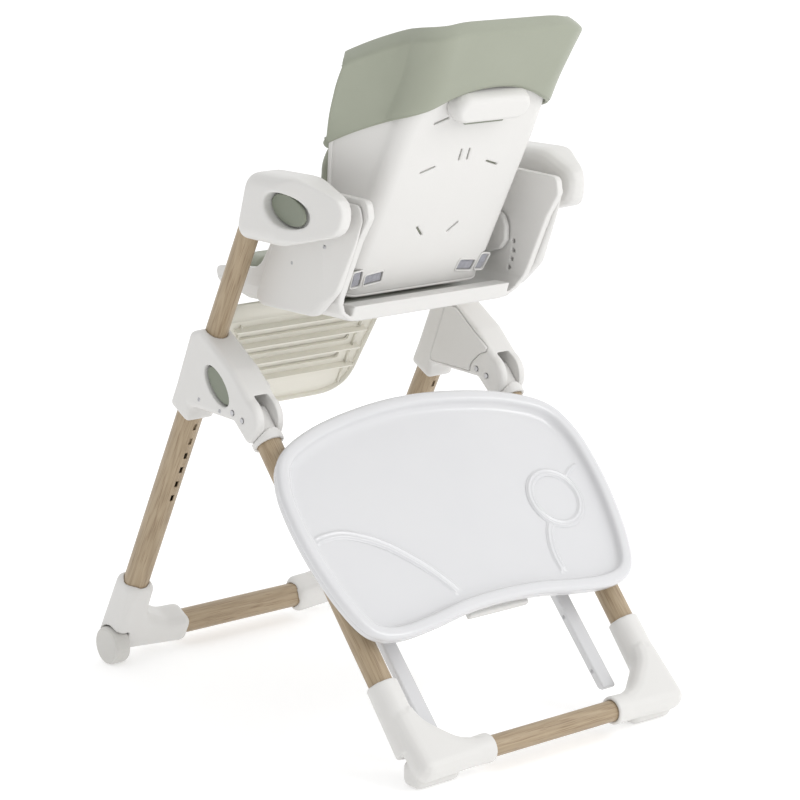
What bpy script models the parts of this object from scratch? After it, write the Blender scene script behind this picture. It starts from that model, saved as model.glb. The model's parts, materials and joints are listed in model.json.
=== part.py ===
"""Folding baby high chair: wood-look A-frame, height-sliding reclining seat, tray stowed on the rear legs.

Metres, +Z up, floor at z = 0. The child faces -Y; +X is the child's left. Points written as (y, z)
lie in the side view, before the whole chair is moved by CENTRE_Y to stand centred on the origin.
"""

import math

import bmesh
import bpy
from mathutils import Matrix, Vector

# ---------- driving dimensions ----------
CENTRE_Y = 0.1066  # moves the chair so that its box is centred on the origin
LEG_X = 0.245  # centre plane of each side frame
FRONT_LEAN = math.radians(28.3)  # front tubes, from the vertical
REAR_LEAN = math.radians(40.3)  # rear tubes, from the vertical
FRONT_FOOT = (-0.506, 0.040)  # (y, z) where the front tube meets its crossbar
PIVOT = (-0.100, 0.486)  # (y, z) fold pivot, on the rear tube's axis
REAR_BAR = (0.300, 0.038)  # (y, z) rear crossbar axis
WHEEL = (-0.494, 0.032)  # (y, z) wheel axle
RECLINE = (-0.075, 0.724)  # (y, z) backrest pivot
CALF = (-0.252, 0.672)  # (y, z) calf rest hinge
BACK_FOOT = (-0.007, 0.693)  # (y, z) a point on the backrest shell's rear face
BACK_LEAN = math.radians(29.05)  # backrest shell, from the vertical
SLOT_PITCH = 0.0294  # height steps along the front tube
SLOT_COUNT = 7
R_FRONT = 0.02095  # outer front tube
R_COLUMN = 0.01775  # sliding column inside it
R_REAR = 0.01935
R_REAR_BAR = 0.0165
WALL = 0.0015  # steel wall of every tube
GAP = 0.0003  # between pieces that touch
HOUSING_IN, HOUSING_OUT = 0.2185, 0.2735  # |x| of the hinge housing's faces
TONGUE = 0.024  # knuckle tongue, between the housing's cheeks
TUB_IN, TUB_OUT = 0.180, 0.192  # |x| of the seat tub's side walls
PANEL_OUT = 0.2115  # |x| of the outer side panel's face
TUB_FLOOR = 0.641  # underside of the seat tub
TRAY_LEAN = math.radians(42)  # tray stowed on the rear legs, from the vertical
TRAY_FOOT = (0.2025, 0.2197)  # (y, z) middle of the tray's belly edge, on its top face
TRAY_THICK = 0.0262

FRONT_UP = Vector((0, math.sin(FRONT_LEAN), math.cos(FRONT_LEAN)))
REAR_UP = Vector((0, -math.sin(REAR_LEAN), math.cos(REAR_LEAN)))
REAR_OUT = Vector((0, math.cos(REAR_LEAN), math.sin(REAR_LEAN)))
TRAY_UP = Vector((0, -math.sin(TRAY_LEAN), math.cos(TRAY_LEAN)))
TRAY_OUT = Vector((0, math.cos(TRAY_LEAN), math.sin(TRAY_LEAN)))
BACK_UP = Vector((0, math.sin(BACK_LEAN), math.cos(BACK_LEAN)))
BACK_OUT = Vector((0, math.cos(BACK_LEAN), -math.sin(BACK_LEAN)))
SIDES = (("left", 1), ("right", -1))

SLOTS = {
    "white_shell": ((0.80, 0.80, 0.79), 0.42, 0.0),
    "ivory_panel": ((0.74, 0.72, 0.64), 0.5, 0.0),
    "wood_foil": ((0.52, 0.38, 0.24), 0.5, 0.0),
    "sage_cover": ((0.36, 0.40, 0.30), 0.6, 0.0),
    "sage_plastic": ((0.30, 0.34, 0.25), 0.5, 0.0),
    "tray_white": ((0.82, 0.82, 0.84), 0.15, 0.0),
    "steel": ((0.55, 0.56, 0.58), 0.3, 1.0),
    "webbing": ((0.42, 0.42, 0.46), 0.85, 0.0),
    "wheel_grey": ((0.62, 0.61, 0.58), 0.5, 0.0),
}

for old in list(bpy.data.objects):
    bpy.data.objects.remove(old)
chair = bpy.data.collections.new("baby_high_chair")
cutters = bpy.data.collections.new("cutters")
for group in (chair, cutters):
    bpy.context.scene.collection.children.link(group)


# ---------- helpers ----------
def material(slot):
    """One Principled material for each finish."""
    made = bpy.data.materials.get(slot)
    if made is None:
        colour, roughness, metallic = SLOTS[slot]
        made = bpy.data.materials.new(slot)
        made.use_nodes = True
        shader = made.node_tree.nodes["Principled BSDF"]
        shader.inputs["Base Color"].default_value = (*colour, 1)
        shader.inputs["Roughness"].default_value = roughness
        shader.inputs["Metallic"].default_value = metallic
    return made


def empty(name, y=0.0, z=0.0, parent=None, x=0.0):
    """A parent for what moves together, on its joint's axis."""
    obj = bpy.data.objects.new(name, None)
    chair.objects.link(obj)
    obj.location = (x, y, z)
    if parent:
        obj.parent = parent
        obj.location = Vector((x, y, z)) - base_of(parent)
    obj["base"] = (x, y, z)
    return obj


def base_of(parent):
    return Vector(parent["base"])


def place(name, mesh, matrix, slot, parent):
    """An object of the chair from a mesh, a matrix in chair coordinates, its finish and its parent."""
    obj = bpy.data.objects.new(name, mesh)
    chair.objects.link(obj)
    mesh.materials.clear()
    mesh.materials.append(material(slot))
    obj.parent = parent
    obj.matrix_local = Matrix.Translation(-base_of(parent)) @ matrix
    return obj


def smooth(obj, angle=35):
    obj.data.shade_smooth()
    obj.data.set_sharp_from_angle(angle=math.radians(angle))


def to_mesh(bm, name):
    bmesh.ops.recalc_face_normals(bm, faces=bm.faces)
    mesh = bpy.data.meshes.new(name)
    bm.to_mesh(mesh)
    bm.free()
    return mesh


def frame(origin, x_axis, y_axis):
    """A matrix from an origin and two square axes."""
    x_axis, y_axis = Vector(x_axis).normalized(), Vector(y_axis).normalized()
    z_axis = x_axis.cross(y_axis)
    matrix = Matrix((x_axis, y_axis, z_axis)).transposed().to_4x4()
    matrix.translation = Vector(origin)
    return matrix


def side_frame(x=0.0):
    """Local X is +Y, local Y is +Z, local Z is +X: an outline in the side view."""
    return frame((x, 0, 0), (0, 1, 0), (0, 0, 1))


def axis_frame(start, end):
    """Local Z from start to end, at their middle."""
    start, end = Vector(start), Vector(end)
    turn = (end - start).to_track_quat("Z", "Y").to_matrix().to_4x4()
    turn.translation = (start + end) / 2
    return turn


def rounded(corners, steps=3):
    """A closed outline from corners (u, v) or (u, v, radius), each radius turned as an arc."""
    points = []
    for i, corner in enumerate(corners):
        here = Vector(corner[:2])
        radius = corner[2] if len(corner) > 2 else 0.0
        if radius == 0:
            points.append(here)
            continue
        back = (Vector(corners[i - 1][:2]) - here).normalized()
        ahead = (Vector(corners[(i + 1) % len(corners)][:2]) - here).normalized()
        half = back.angle(ahead) / 2
        centre = here + (back + ahead).normalized() * radius / math.sin(half)
        first = here + back * radius / math.tan(half) - centre
        last = here + ahead * radius / math.tan(half) - centre
        for k in range(steps + 1):
            mix = first.lerp(last, k / steps).normalized() * radius
            points.append(centre + mix)
    return points


def outline_mesh(name, points, thickness):
    """A flat outline given its thickness, as one welded mesh centred on its plane."""
    curve = bpy.data.curves.new(name, "CURVE")
    curve.dimensions = "2D"
    curve.fill_mode = "BOTH"
    curve.extrude = thickness / 2
    spline = curve.splines.new("POLY")
    spline.points.add(len(points) - 1)
    for target, point in zip(spline.points, points):
        target.co = (point[0], point[1], 0, 1)
    spline.use_cyclic_u = True
    guide = bpy.data.objects.new(name, curve)
    cutters.objects.link(guide)
    bpy.context.view_layer.update()
    graph = bpy.context.evaluated_depsgraph_get()
    mesh = bpy.data.meshes.new_from_object(guide.evaluated_get(graph))
    bpy.data.objects.remove(guide)
    bm = bmesh.new()
    bm.from_mesh(mesh)
    bmesh.ops.remove_doubles(bm, verts=bm.verts, dist=1e-5)
    bmesh.ops.dissolve_limit(bm, angle_limit=0.01, verts=bm.verts, edges=bm.edges)
    return to_mesh(bm, name)


def bevel(obj, width, segments=2, angle=40):
    made = obj.modifiers.new("rounding", "BEVEL")
    made.width = width
    made.segments = segments
    made.limit_method = "ANGLE"
    made.angle_limit = math.radians(angle)
    made.use_clamp_overlap = False
    return obj


def plate(name, corners, thickness, matrix, slot, parent, round_edge=0.0, segments=2, steps=3):
    """A rounded outline of even thickness."""
    mesh = outline_mesh(name, rounded(corners, steps), thickness)
    obj = place(name, mesh, matrix, slot, parent)
    if round_edge:
        bevel(obj, round_edge, segments)
    smooth(obj)
    return obj


def rod_mesh(name, length, radius, segments=24, end_radius=None):
    bm = bmesh.new()
    bmesh.ops.create_cone(bm, cap_ends=True, segments=segments, radius1=radius,
                          radius2=radius if end_radius is None else end_radius, depth=length)
    return to_mesh(bm, name)


def rod(name, start, end, radius, slot, parent, segments=24, end_radius=None, round_edge=0.0):
    length = (Vector(end) - Vector(start)).length
    mesh = rod_mesh(name, length, radius, segments, end_radius)
    obj = place(name, mesh, axis_frame(start, end), slot, parent)
    if round_edge:
        bevel(obj, round_edge)
    smooth(obj)
    return obj


def pipe(name, start, end, radius, slot, parent, segments=24, wall=WALL):
    """An open-ended tube."""
    bm = bmesh.new()
    length = (Vector(end) - Vector(start)).length
    bmesh.ops.create_cone(bm, cap_ends=False, segments=segments, radius1=radius,
                          radius2=radius, depth=length)
    obj = place(name, to_mesh(bm, name), axis_frame(start, end), slot, parent)
    shell = obj.modifiers.new("wall", "SOLIDIFY")
    shell.thickness = wall
    shell.offset = -1
    smooth(obj)
    return obj


def box_mesh(name, size):
    bm = bmesh.new()
    bmesh.ops.create_cube(bm, size=1)
    bmesh.ops.scale(bm, vec=size, verts=bm.verts)
    return to_mesh(bm, name)


def box(name, size, matrix, slot, parent, round_edge=0.0, segments=2):
    obj = place(name, box_mesh(name, size), matrix, slot, parent)
    if round_edge:
        bevel(obj, round_edge, segments)
    smooth(obj)
    return obj


def ellipse(centre, half_long, half_short, turn=0.0, count=20):
    """Points round an ellipse whose long axis is turned from local X."""
    points = []
    for k in range(count):
        angle = 2 * math.pi * k / count
        u, v = half_long * math.cos(angle), half_short * math.sin(angle)
        points.append((centre[0] + u * math.cos(turn) - v * math.sin(turn),
                       centre[1] + u * math.sin(turn) + v * math.cos(turn)))
    return points


def as_cutter(obj):
    chair.objects.unlink(obj)
    cutters.objects.link(obj)
    obj.hide_render = True
    obj.display_type = "WIRE"
    return obj


def combine(target, cutter, operation="DIFFERENCE"):
    """Cuts, joins or intersects target with a cutter, which moves to the cutters' collection."""
    if cutter.name in chair.objects:
        as_cutter(cutter)
    made = target.modifiers.new(operation.lower(), "BOOLEAN")
    made.operation = operation
    made.object = cutter
    return target


def front_point(z, x=0.0):
    """The front tube's axis at height z."""
    return Vector((x, FRONT_FOOT[0] + (z - FRONT_FOOT[1]) * math.tan(FRONT_LEAN), z))


def rear_point(z, x=0.0):
    """The rear tube's axis at height z."""
    return Vector((x, PIVOT[0] + (PIVOT[1] - z) * math.tan(REAR_LEAN), z))


def back_point(x, v, lift=0.0):
    """A point on the backrest: x across, v up its rear face, lift behind it."""
    foot = Vector((0, *BACK_FOOT))
    return foot + Vector((x, 0, 0)) + BACK_UP * v + BACK_OUT * lift


def back_frame(x=0.0, v=0.0, lift=0.0):
    """Local X is +X, local Y runs up the backrest, local Z points forward, out of its front."""
    return frame(back_point(x, v, lift), (1, 0, 0), BACK_UP)


def grid_shell(name, rows, thickness, slot, parent, offset=0.0):
    """A skin through rows of points in chair coordinates, thickened."""
    bm = bmesh.new()
    made = [[bm.verts.new(p) for p in row] for row in rows]
    for low, high in zip(made, made[1:]):
        for k in range(len(low) - 1):
            bm.faces.new((low[k], low[k + 1], high[k + 1], high[k]))
    obj = place(name, to_mesh(bm, name), Matrix(), slot, parent)
    skin = obj.modifiers.new("thickness", "SOLIDIFY")
    skin.thickness = thickness
    skin.offset = offset
    smooth(obj, 50)
    return obj


# ---------- parents, each on its joint's axis ----------
root = empty("high_chair", 0, 0)
root.location = (0, CENTRE_Y, 0)
rear_frame = empty("fold_axis", *PIVOT, parent=root)
seat = empty("seat_slide", *front_point(0.600)[1:], parent=root)
back = empty("recline_axis", *RECLINE, parent=seat)
calf = empty("calf_axis", *CALF, parent=seat)
tray = empty("tray_lift", *rear_point(0.30)[1:], parent=rear_frame)


# ---------- front frame ----------
def front_tube(name, side):
    """Outer tube with the row of height slots down its rear face."""
    x = side * LEG_X
    tube = pipe(name, front_point(0.075, x), front_point(0.588, x), R_FRONT, "wood_foil", root)
    top_slot = front_point(0.4775, x)
    for k in range(SLOT_COUNT):
        centre = top_slot - FRONT_UP * SLOT_PITCH * k
        lie = frame(centre, (1, 0, 0), FRONT_UP)
        lie.translation = centre - lie.to_3x3() @ Vector((0, 0, R_FRONT))
        slot = box(f"cut_{name}_{k}", (0.006, 0.0125, 0.012), lie, "steel", root)
        combine(tube, slot)


def front_foot(name, side):
    """L-shaped shoe round the tube's end, the crossbar's end and the top of the wheel."""
    x = side * LEG_X
    inward = Vector((-side, 0, 0))
    lie = frame(Vector((x, *FRONT_FOOT)), inward, FRONT_UP)
    corners = [(-0.0255, 0.131), (-0.0285, -0.010, 0.016), (0.130, -0.0265), (0.130, 0.0265),
               (0.080, 0.029, 0.04), (0.028, 0.060, 0.04), (0.0255, 0.131)]
    foot = plate(name, corners, 0.054, lie, "white_shell", root, 0.014, 3)
    start, end = front_point(0.060, x), front_point(0.30, x)
    combine(foot, rod(f"cut_{name}_tube", start, end, R_FRONT + GAP, "steel", root))
    bar = Vector((x, *FRONT_FOOT))
    combine(foot, rod(f"cut_{name}_bar", bar + inward * 0.060, bar + inward * 0.30,
                      R_FRONT + GAP, "steel", root))
    hub = Vector((side * 0.2475, *WHEEL))
    combine(foot, rod(f"cut_{name}_wheel", hub, hub - inward * 0.06, 0.0345, "steel", root))
    return foot


def wheel(name, side):
    """Small solid wheel with a domed outer face, turning on a stub axle."""
    hub = empty(f"{name}_axis", *WHEEL, parent=root, x=side * 0.262)
    inner = Vector((side * 0.2482, *WHEEL))
    outer = Vector((side * 0.2790, *WHEEL))
    body = rod(name, inner, outer, 0.032, "wheel_grey", hub, 28, round_edge=0.005)
    bore = rod(f"cut_{name}", inner - Vector((side * 0.01, 0, 0)), Vector((side * 0.2700, *WHEEL)),
               0.0043, "steel", hub, 12)
    combine(body, bore)
    axle_start = Vector((side * 0.2482, *WHEEL))
    rod(name.replace("wheel", "wheel_axle"), axle_start, Vector((side * 0.2690, *WHEEL)), 0.0040,
        "steel", root, 12)


def arc(centre, radius, start, end, steps):
    """Points on an arc, from one angle to another in degrees."""
    angles = [math.radians(start + (end - start) * k / steps) for k in range(steps + 1)]
    return [(centre[0] + radius * math.cos(a), centre[1] + radius * math.sin(a)) for a in angles]


def hinge_housing(name, side):
    """Fixed half of the fold hinge: collar on the front tube and two cheeks round the knuckle."""
    middle = (HOUSING_IN + HOUSING_OUT) / 2
    lobe = arc(PIVOT, 0.038, 67, -75, 10)
    corners = [(-0.296, 0.480), (-0.277, 0.516), (-0.235, 0.604, 0.012), (-0.206, 0.612, 0.012),
               (-0.125, 0.560, 0.05)] + lobe + [(-0.125, 0.480, 0.01), (-0.243, 0.484), (-0.250, 0.455)]
    housing = plate(name, corners, HOUSING_OUT - HOUSING_IN, side_frame(side * middle), "white_shell",
                    root, 0.008, 3)
    x = side * LEG_X
    combine(housing, rod(f"cut_{name}_tube", front_point(0.40, x), front_point(0.589, x),
                         R_FRONT + GAP, "steel", root))
    combine(housing, rod(f"cut_{name}_column", front_point(0.58, x), front_point(0.70, x),
                         R_COLUMN + 0.0006, "steel", root))
    slot = arc(PIVOT, 0.0378, 78, 210, 9) + [(-0.1327, 0.40), (-0.02, 0.40), (-0.02, 0.56)]
    combine(housing, plate(f"cut_{name}_slot", slot, TONGUE + 0.0010, side_frame(x), "steel", root))
    cut_pocket(housing, side, (-0.166, 0.529), 0.039, 0.0205, math.radians(-42), HOUSING_OUT - 0.0145)
    recess = [(-0.203, 0.590, 0.012), (-0.178, 0.590, 0.012), (-0.092, 0.528, 0.006), (-0.117, 0.520, 0.01),
              (-0.143, 0.498, 0.02), (-0.141, 0.4870, 0.002), (-0.246, 0.4900, 0.006)]
    inner = side_frame(side * (HOUSING_IN + 0.001))
    combine(housing, plate(f"cut_{name}_cover", recess, 0.006, inner, "steel", root))


def cut_pocket(target, side, centre, half_long, half_short, turn, floor):
    """The oval finger pocket in an outer face, down to its floor at |x|."""
    name = f"cut_{target.name}_pocket"
    mesh = outline_mesh(name, ellipse(centre, half_long, half_short, turn), 0.040)
    combine(target, place(name, mesh, side_frame(side * (floor + 0.020)), "steel", root))


def trigger(name, side, centre, half_long, half_short, turn, floor, parent):
    """Sage thumb plate lying in a finger pocket, clear of its floor so that it can be pressed in."""
    mesh = outline_mesh(name, ellipse(centre, half_long - 0.003, half_short - 0.003, turn), 0.005)
    obj = place(name, mesh, side_frame(side * (floor + 0.0070)), "sage_plastic", parent)
    smooth(bevel(obj, 0.0012, 2))


def hinge_cover(name, side):
    """Screwed cover plate in the housing's inner face."""
    outline = [(-0.2022, 0.5890, 0.012), (-0.1783, 0.5890, 0.012), (-0.0945, 0.5288, 0.005),
               (-0.1175, 0.5208, 0.009), (-0.1438, 0.4985, 0.02), (-0.1422, 0.4884, 0.002),
               (-0.2445, 0.4914, 0.006)]
    lie = side_frame(side * (HOUSING_IN + 0.0014))
    plate(name, outline, 0.0046, lie, "white_shell", root, 0.0008, 1)


def bolt(name, side, centre):
    """A bolt right through the housing's cheeks, with low round heads on both faces."""
    inner = Vector((side * (HOUSING_IN - 0.0012), *centre))
    outer = Vector((side * (HOUSING_OUT + 0.0012), *centre))
    rod(name, inner, outer, 0.0040, "steel", root, 16, round_edge=0.0006)


def drill(name, target, side, centre, radius=0.0043, reach=0.08):
    start = Vector((side * (LEG_X - reach), *centre))
    combine(target, rod(name, start, Vector((side * (LEG_X + reach), *centre)), radius, "steel", root, 16))


# ---------- rear frame ----------
def knuckle(name, side):
    """Moving half of the fold hinge: a tongue round the pivot bolt and a head that caps the rear tube."""
    x = side * LEG_X
    hub = Vector((x, *PIVOT))
    lie = frame(hub, -REAR_UP, REAR_OUT)
    tongue = [(-0.020, -0.018, 0.018), (0.041, -0.018), (0.041, 0.018), (-0.020, 0.018, 0.018)]
    body = plate(name, tongue, TONGUE, lie, "white_shell", rear_frame)
    head_outline = arc((0, 0), 0.0388, -42, 42, 8) + [(0.0470, 0.0262), (0.0470, -0.0262)]
    head = plate(f"add_{name}", head_outline, 0.060, lie, "white_shell", rear_frame)
    combine(head, rod(f"round_{name}", hub, hub - REAR_UP * 0.07, 0.0252, "white_shell", rear_frame, 28),
            "INTERSECT")
    combine(body, head, "UNION")
    mouth = hub - REAR_UP * 0.0425
    combine(body, rod(f"cut_{name}", mouth, mouth - REAR_UP * 0.05, R_REAR + GAP, "steel", rear_frame))
    return body


def rear_tube(name, side):
    x = side * LEG_X
    start = Vector((x, *PIVOT)) - REAR_UP * (0.0425 + GAP)
    pipe(name, start, rear_point(0.075, x), R_REAR, "wood_foil", rear_frame)


def rear_foot(name, side):
    """Boot round the rear tube's end and the crossbar's end, flat where it stands."""
    x = side * LEG_X
    inward = Vector((-side, 0, 0))
    bar = Vector((x, *REAR_BAR))
    mouth = rear_point(0.135, x)
    body = rod(name, rear_point(0.050, x), mouth, 0.0262, "white_shell", rear_frame, 28, 0.0245)
    sleeve = rod(f"add_{name}_bar", bar - inward * 0.004, bar + inward * 0.121, 0.0180,
                 "white_shell", rear_frame, 28, 0.0230, 0.003)
    combine(body, sleeve, "UNION")
    up = (mouth - bar).normalized()
    web = [(-0.020, 0.095), (-0.021, -0.024, 0.018), (0.105, -0.020), (0.105, 0.018), (0.070, 0.026, 0.05),
           (0.024, 0.070, 0.05), (0.022, 0.095)]
    body_web = plate(f"add_{name}_web", web, 0.042, frame(bar, inward, up), "white_shell", rear_frame, 0.017, 3)
    combine(body, body_web, "UNION")
    sole = Matrix.Translation((side * 0.2180, 0.2800, 0.0200))
    combine(body, box(f"add_{name}_sole", (0.084, 0.040, 0.040), sole, "white_shell", rear_frame, 0.011, 3),
            "UNION")
    combine(body, rod(f"cut_{name}_tube", rear_point(0.074, x), rear_point(0.30, x),
                      R_REAR + GAP, "steel", rear_frame))
    combine(body, rod(f"cut_{name}_bore", bar + inward * 0.060, bar + inward * 0.30,
                      R_REAR_BAR + GAP, "steel", rear_frame))


# ---------- seat, columns and armrests ----------
def column(name, side):
    """Inner tube that rises from the front tube, drilled for its locking pin."""
    x = side * LEG_X
    tube = pipe(name, front_point(0.415, x), front_point(0.815, x), R_COLUMN, "wood_foil", seat)
    start, end = pin_line(side, 0.002, 0.030)
    combine(tube, rod(f"cut_{name}", start, end, 0.0030, "steel", seat, 12))


def pin_line(side, near, far):
    """Two points on the locking pin's line, measured rearward from the column's axis."""
    centre = front_point(0.4775, side * LEG_X)
    rearward = Vector((0, math.cos(FRONT_LEAN), -math.sin(FRONT_LEAN)))
    return centre + rearward * near, centre + rearward * far


def height_pin(name, side):
    """Locking pin in the column, behind the top slot."""
    start, end = pin_line(side, 0.006, R_COLUMN + 0.0012)
    rod(name, start, end, 0.0026, "steel", seat, 12)


def plan_frame(side):
    """Local X is outwards, local Y is +Y: an outline seen from above."""
    return Matrix.Diagonal((side, 1, 1, 1)) if side > 0 else frame((0, 0, 0), (-1, 0, 0), (0, 1, 0))


def armrest(name, side):
    """Pebble-shaped pod round the top of the column, tapering rearwards, with its finger pocket."""
    inner, outer = PANEL_OUT + 0.0006, 0.282
    corners = [(-0.108, 0.768, 0.019), (-0.074, 0.872, 0.030), (0.040, 0.872, 0.080),
               (0.113, 0.840, 0.028), (0.105, 0.790, 0.030), (0.000, 0.766, 0.040)]
    pod = plate(name, corners, outer - inner, side_frame(side * (inner + outer) / 2), "white_shell", seat,
                0.018, 3)
    plan = [(inner - 0.01, -0.13), (0.258, -0.13, 0.03), (outer + 0.001, -0.085, 0.06),
            (outer + 0.001, 0.010, 0.12), (0.238, 0.113, 0.015), (inner - 0.01, 0.119)]
    taper = plate(f"cut_{name}_plan", plan, 2.0, plan_frame(side), "steel", seat, steps=5)
    combine(pod, taper, "INTERSECT")
    x = side * LEG_X
    combine(pod, rod(f"cut_{name}_column", front_point(0.70, x), front_point(0.816, x),
                     R_COLUMN + GAP, "steel", seat))
    cut_pocket(pod, side, (0.017, 0.822), 0.044, 0.0245, math.radians(-14), 0.2580)


def tub():
    """U-shaped seat bucket: one rounded channel with a rear lip, cut to its side profile."""
    half, low, top, turn, wall = TUB_OUT, TUB_FLOOR, 0.850, 0.050, TUB_OUT - TUB_IN
    outer = [(-half, top), (-half, low, turn), (half, low, turn), (half, top)]
    inner_low = low + 0.006
    inner = [(half - wall, top), (half - wall, inner_low, turn - wall), (wall - half, inner_low, turn - wall),
             (wall - half, top)]
    lie = frame((0, -0.09, 0), (-1, 0, 0), (0, 0, 1))
    mesh = outline_mesh("seat_tub", rounded(outer + inner, 4), 0.50)
    body = place("seat_tub", mesh, lie, "white_shell", seat)
    lip = box("add_seat_tub", (0.310, 0.060, 0.024), Matrix.Translation((0, 0.025, low + 0.013)), "steel", seat)
    combine(body, lip, "UNION")
    profile = [(-0.276, 0.60), (0.006, 0.60), (0.028, 0.662, 0.02), (0.086, 0.775, 0.03), (0.112, 0.812, 0.01),
               (0.108, 0.838, 0.012), (-0.060, 0.845, 0.02), (-0.100, 0.790, 0.04), (-0.160, 0.705, 0.04),
               (-0.276, 0.694, 0.012)]
    combine(body, plate("cut_seat_tub", profile, 0.50, side_frame(), "steel", seat), "INTERSECT")
    mouth = Matrix.Translation((0, -0.336, 0.650))
    combine(body, box("cut_tub_front", (2 * 0.1745, 0.200, 0.200), mouth, "steel", seat))
    combine(body, rod("cut_tub_hinge", (-0.3, *CALF), (0.3, *CALF), 0.0063, "steel", seat, 16))
    combine(body, rod("cut_tub_recline", (-0.3, *RECLINE), (0.3, *RECLINE), 0.0083, "steel", seat, 16))
    for k, angle in enumerate((2.0, -8.5, -18.5, -29.0)):
        hole = arc(RECLINE, 0.084, angle, angle, 1)[0]
        combine(body, rod(f"cut_tub_hole_{k}", (-0.3, *hole), (0.3, *hole), 0.0040, "steel", seat, 12))
    smooth(body)


def side_panel(name, side):
    """Outer side panel between the tub's wall and the armrest, its rear edge turned in."""
    corners = [(-0.094, 0.7665, 0.01), (-0.150, 0.662, 0.012), (-0.130, 0.652, 0.02), (0.000, 0.652, 0.03),
               (0.050, 0.695, 0.05), (0.088, 0.770, 0.02), (0.104, 0.808, 0.01), (0.098, 0.832, 0.01),
               (-0.050, 0.835, 0.01)]
    inner = TUB_OUT + GAP
    panel = plate(name, corners, PANEL_OUT - inner, side_frame(side * (PANEL_OUT + inner) / 2), "white_shell",
                  seat, 0.006)
    plan = [(inner - 0.01, -0.2), (PANEL_OUT + 0.001, -0.2), (PANEL_OUT + 0.001, 0.020, 0.10), (0.1955, 0.112),
            (inner - 0.01, 0.112)]
    combine(panel, plate(f"cut_{name}_plan", plan, 2.0, plan_frame(side), "steel", seat, steps=4), "INTERSECT")


def seat_pad():
    """Seat cushion in the tub, rolled over its front edge."""
    corners = [(-0.300, 0.650, 0.010), (-0.318, 0.668, 0.015), (-0.285, 0.705, 0.03), (-0.086, 0.708, 0.012),
               (-0.078, 0.668, 0.010), (-0.090, 0.6500, 0.008), (-0.2420, 0.6500), (-0.2420, 0.6446, 0.003)]
    pad = plate("seat_pad", corners, 0.318, side_frame(), "sage_cover", seat, 0.010)
    pad.modifiers["rounding"].angle_limit = math.radians(60)


def crotch_post():
    """Padded post between the child's legs."""
    lie = Matrix.Translation((0, -0.215, 0.7555))
    box("crotch_post", (0.046, 0.020, 0.094), lie, "sage_cover", seat, 0.008)


# ---------- backrest ----------
def along(stops, v):
    """The value at v on a line through (v, value) stops."""
    for (v0, w0), (v1, w1) in zip(stops, stops[1:]):
        if v <= v1:
            return w0 + (w1 - w0) * (v - v0) / (v1 - v0)
    return stops[-1][1]


BACK_HALF = [(-0.026, 0.137), (0.02, 0.140), (0.25, 0.140), (0.35, 0.133), (0.40, 0.139), (0.46, 0.147)]
WING_REACH = [(-0.026, 0.064), (0.13, 0.088), (0.46, 0.088)]
WING_SPLAY = [(-0.026, 0.003), (0.06, 0.010), (0.13, 0.022), (0.20, 0.045), (0.26, 0.060), (0.32, 0.072),
              (0.37, 0.070), (0.46, 0.040)]


def top_edge(depth):
    """How high the wings' upper edge stands at a depth in front of the back."""
    return 0.452 - 0.105 * (max(0.0, depth) / 0.088) ** 2


def hem_edge(run):
    """Height of the head cover's hem at a distance round the shell from its centre line."""
    return 0.3545 - 0.150 * (run / 0.235) ** 2.2


# Stations round half the section, from the wing's front to the centre: (kind, share of reach or angle).
SHELL_COLUMNS = [("wing", 1.0), ("wing", 0.68), ("turn", 0.0), ("turn", 45.0), ("turn", 90.0), ("back", 0.5),
                 ("back", 0.0)]


def shell_point(kind, value, v, grow):
    """A point of the section at v: on the splayed wing, the round corner or the flat back."""
    half, corner = along(BACK_HALF, v) + grow, 0.020
    splay = along(WING_SPLAY, v)
    if kind == "wing":
        depth = along(WING_REACH, v) * value
        return back_point(half + splay * value, v, -depth)
    if kind == "turn":
        angle = math.radians(value)
        return back_point(half - corner + corner * math.cos(angle), v, grow - corner + corner * math.sin(angle))
    return back_point((half - corner) * value, v, grow)


def run_of(kind, value):
    """Distance of a station from the centre line, measured round the shell."""
    if kind == "wing":
        return 0.145 + 0.088 * value
    return 0.130 if kind == "turn" else 0.120 * value


def wrap_rows(shares, low, high, grow):
    """Rows round the whole section, each station between its own low and high edge."""
    rows = []
    for share in shares:
        half = []
        for kind, value in SHELL_COLUMNS:
            bottom, top = low(kind, value), high(kind, value)
            half.append(shell_point(kind, value, bottom + (top - bottom) * share, grow))
        rows.append(half + [Vector((-p.x, p.y, p.z)) for p in reversed(half[:-1])])
    return rows


def wing_top(kind, value):
    return top_edge(0.088 * value) if kind == "wing" else 0.452


def backrest_shell():
    """Moulded shell with forward wings and the harness slots."""
    rows = wrap_rows((0, 0.11, 0.25, 0.42, 0.58, 0.72, 0.86, 1), lambda kind, value: -0.026,
                     lambda kind, value: wing_top(kind, value) - 0.010, 0.0)
    shell = grid_shell("backrest_shell", rows, 0.004, "white_shell", back, 1)
    shell.modifiers["thickness"].use_even_offset = True
    slots = [(8, 224, 22, 3, 90), (-8, 224, 22, 3, 90)]
    for s in (1, -1):
        slots += [(s * 33, 86, 24, 3.5, s * 47), (s * 63, 202, 28, 3.5, s * -20),
                  (s * 71, 291, 28, 3.5, s * -20),
                  (s * 92, 5, 33, 20, s * -8), (s * 125, 7, 17, 30, s * -8)]
    for k, (x, v, long, wide, turn) in enumerate(slots):
        lie = back_frame(x / 1000, v / 1000) @ Matrix.Rotation(math.radians(turn), 4, "Z")
        combine(shell, box(f"cut_shell_{k}", (long / 1000, wide / 1000, 0.03), lie, "steel", back))


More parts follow.
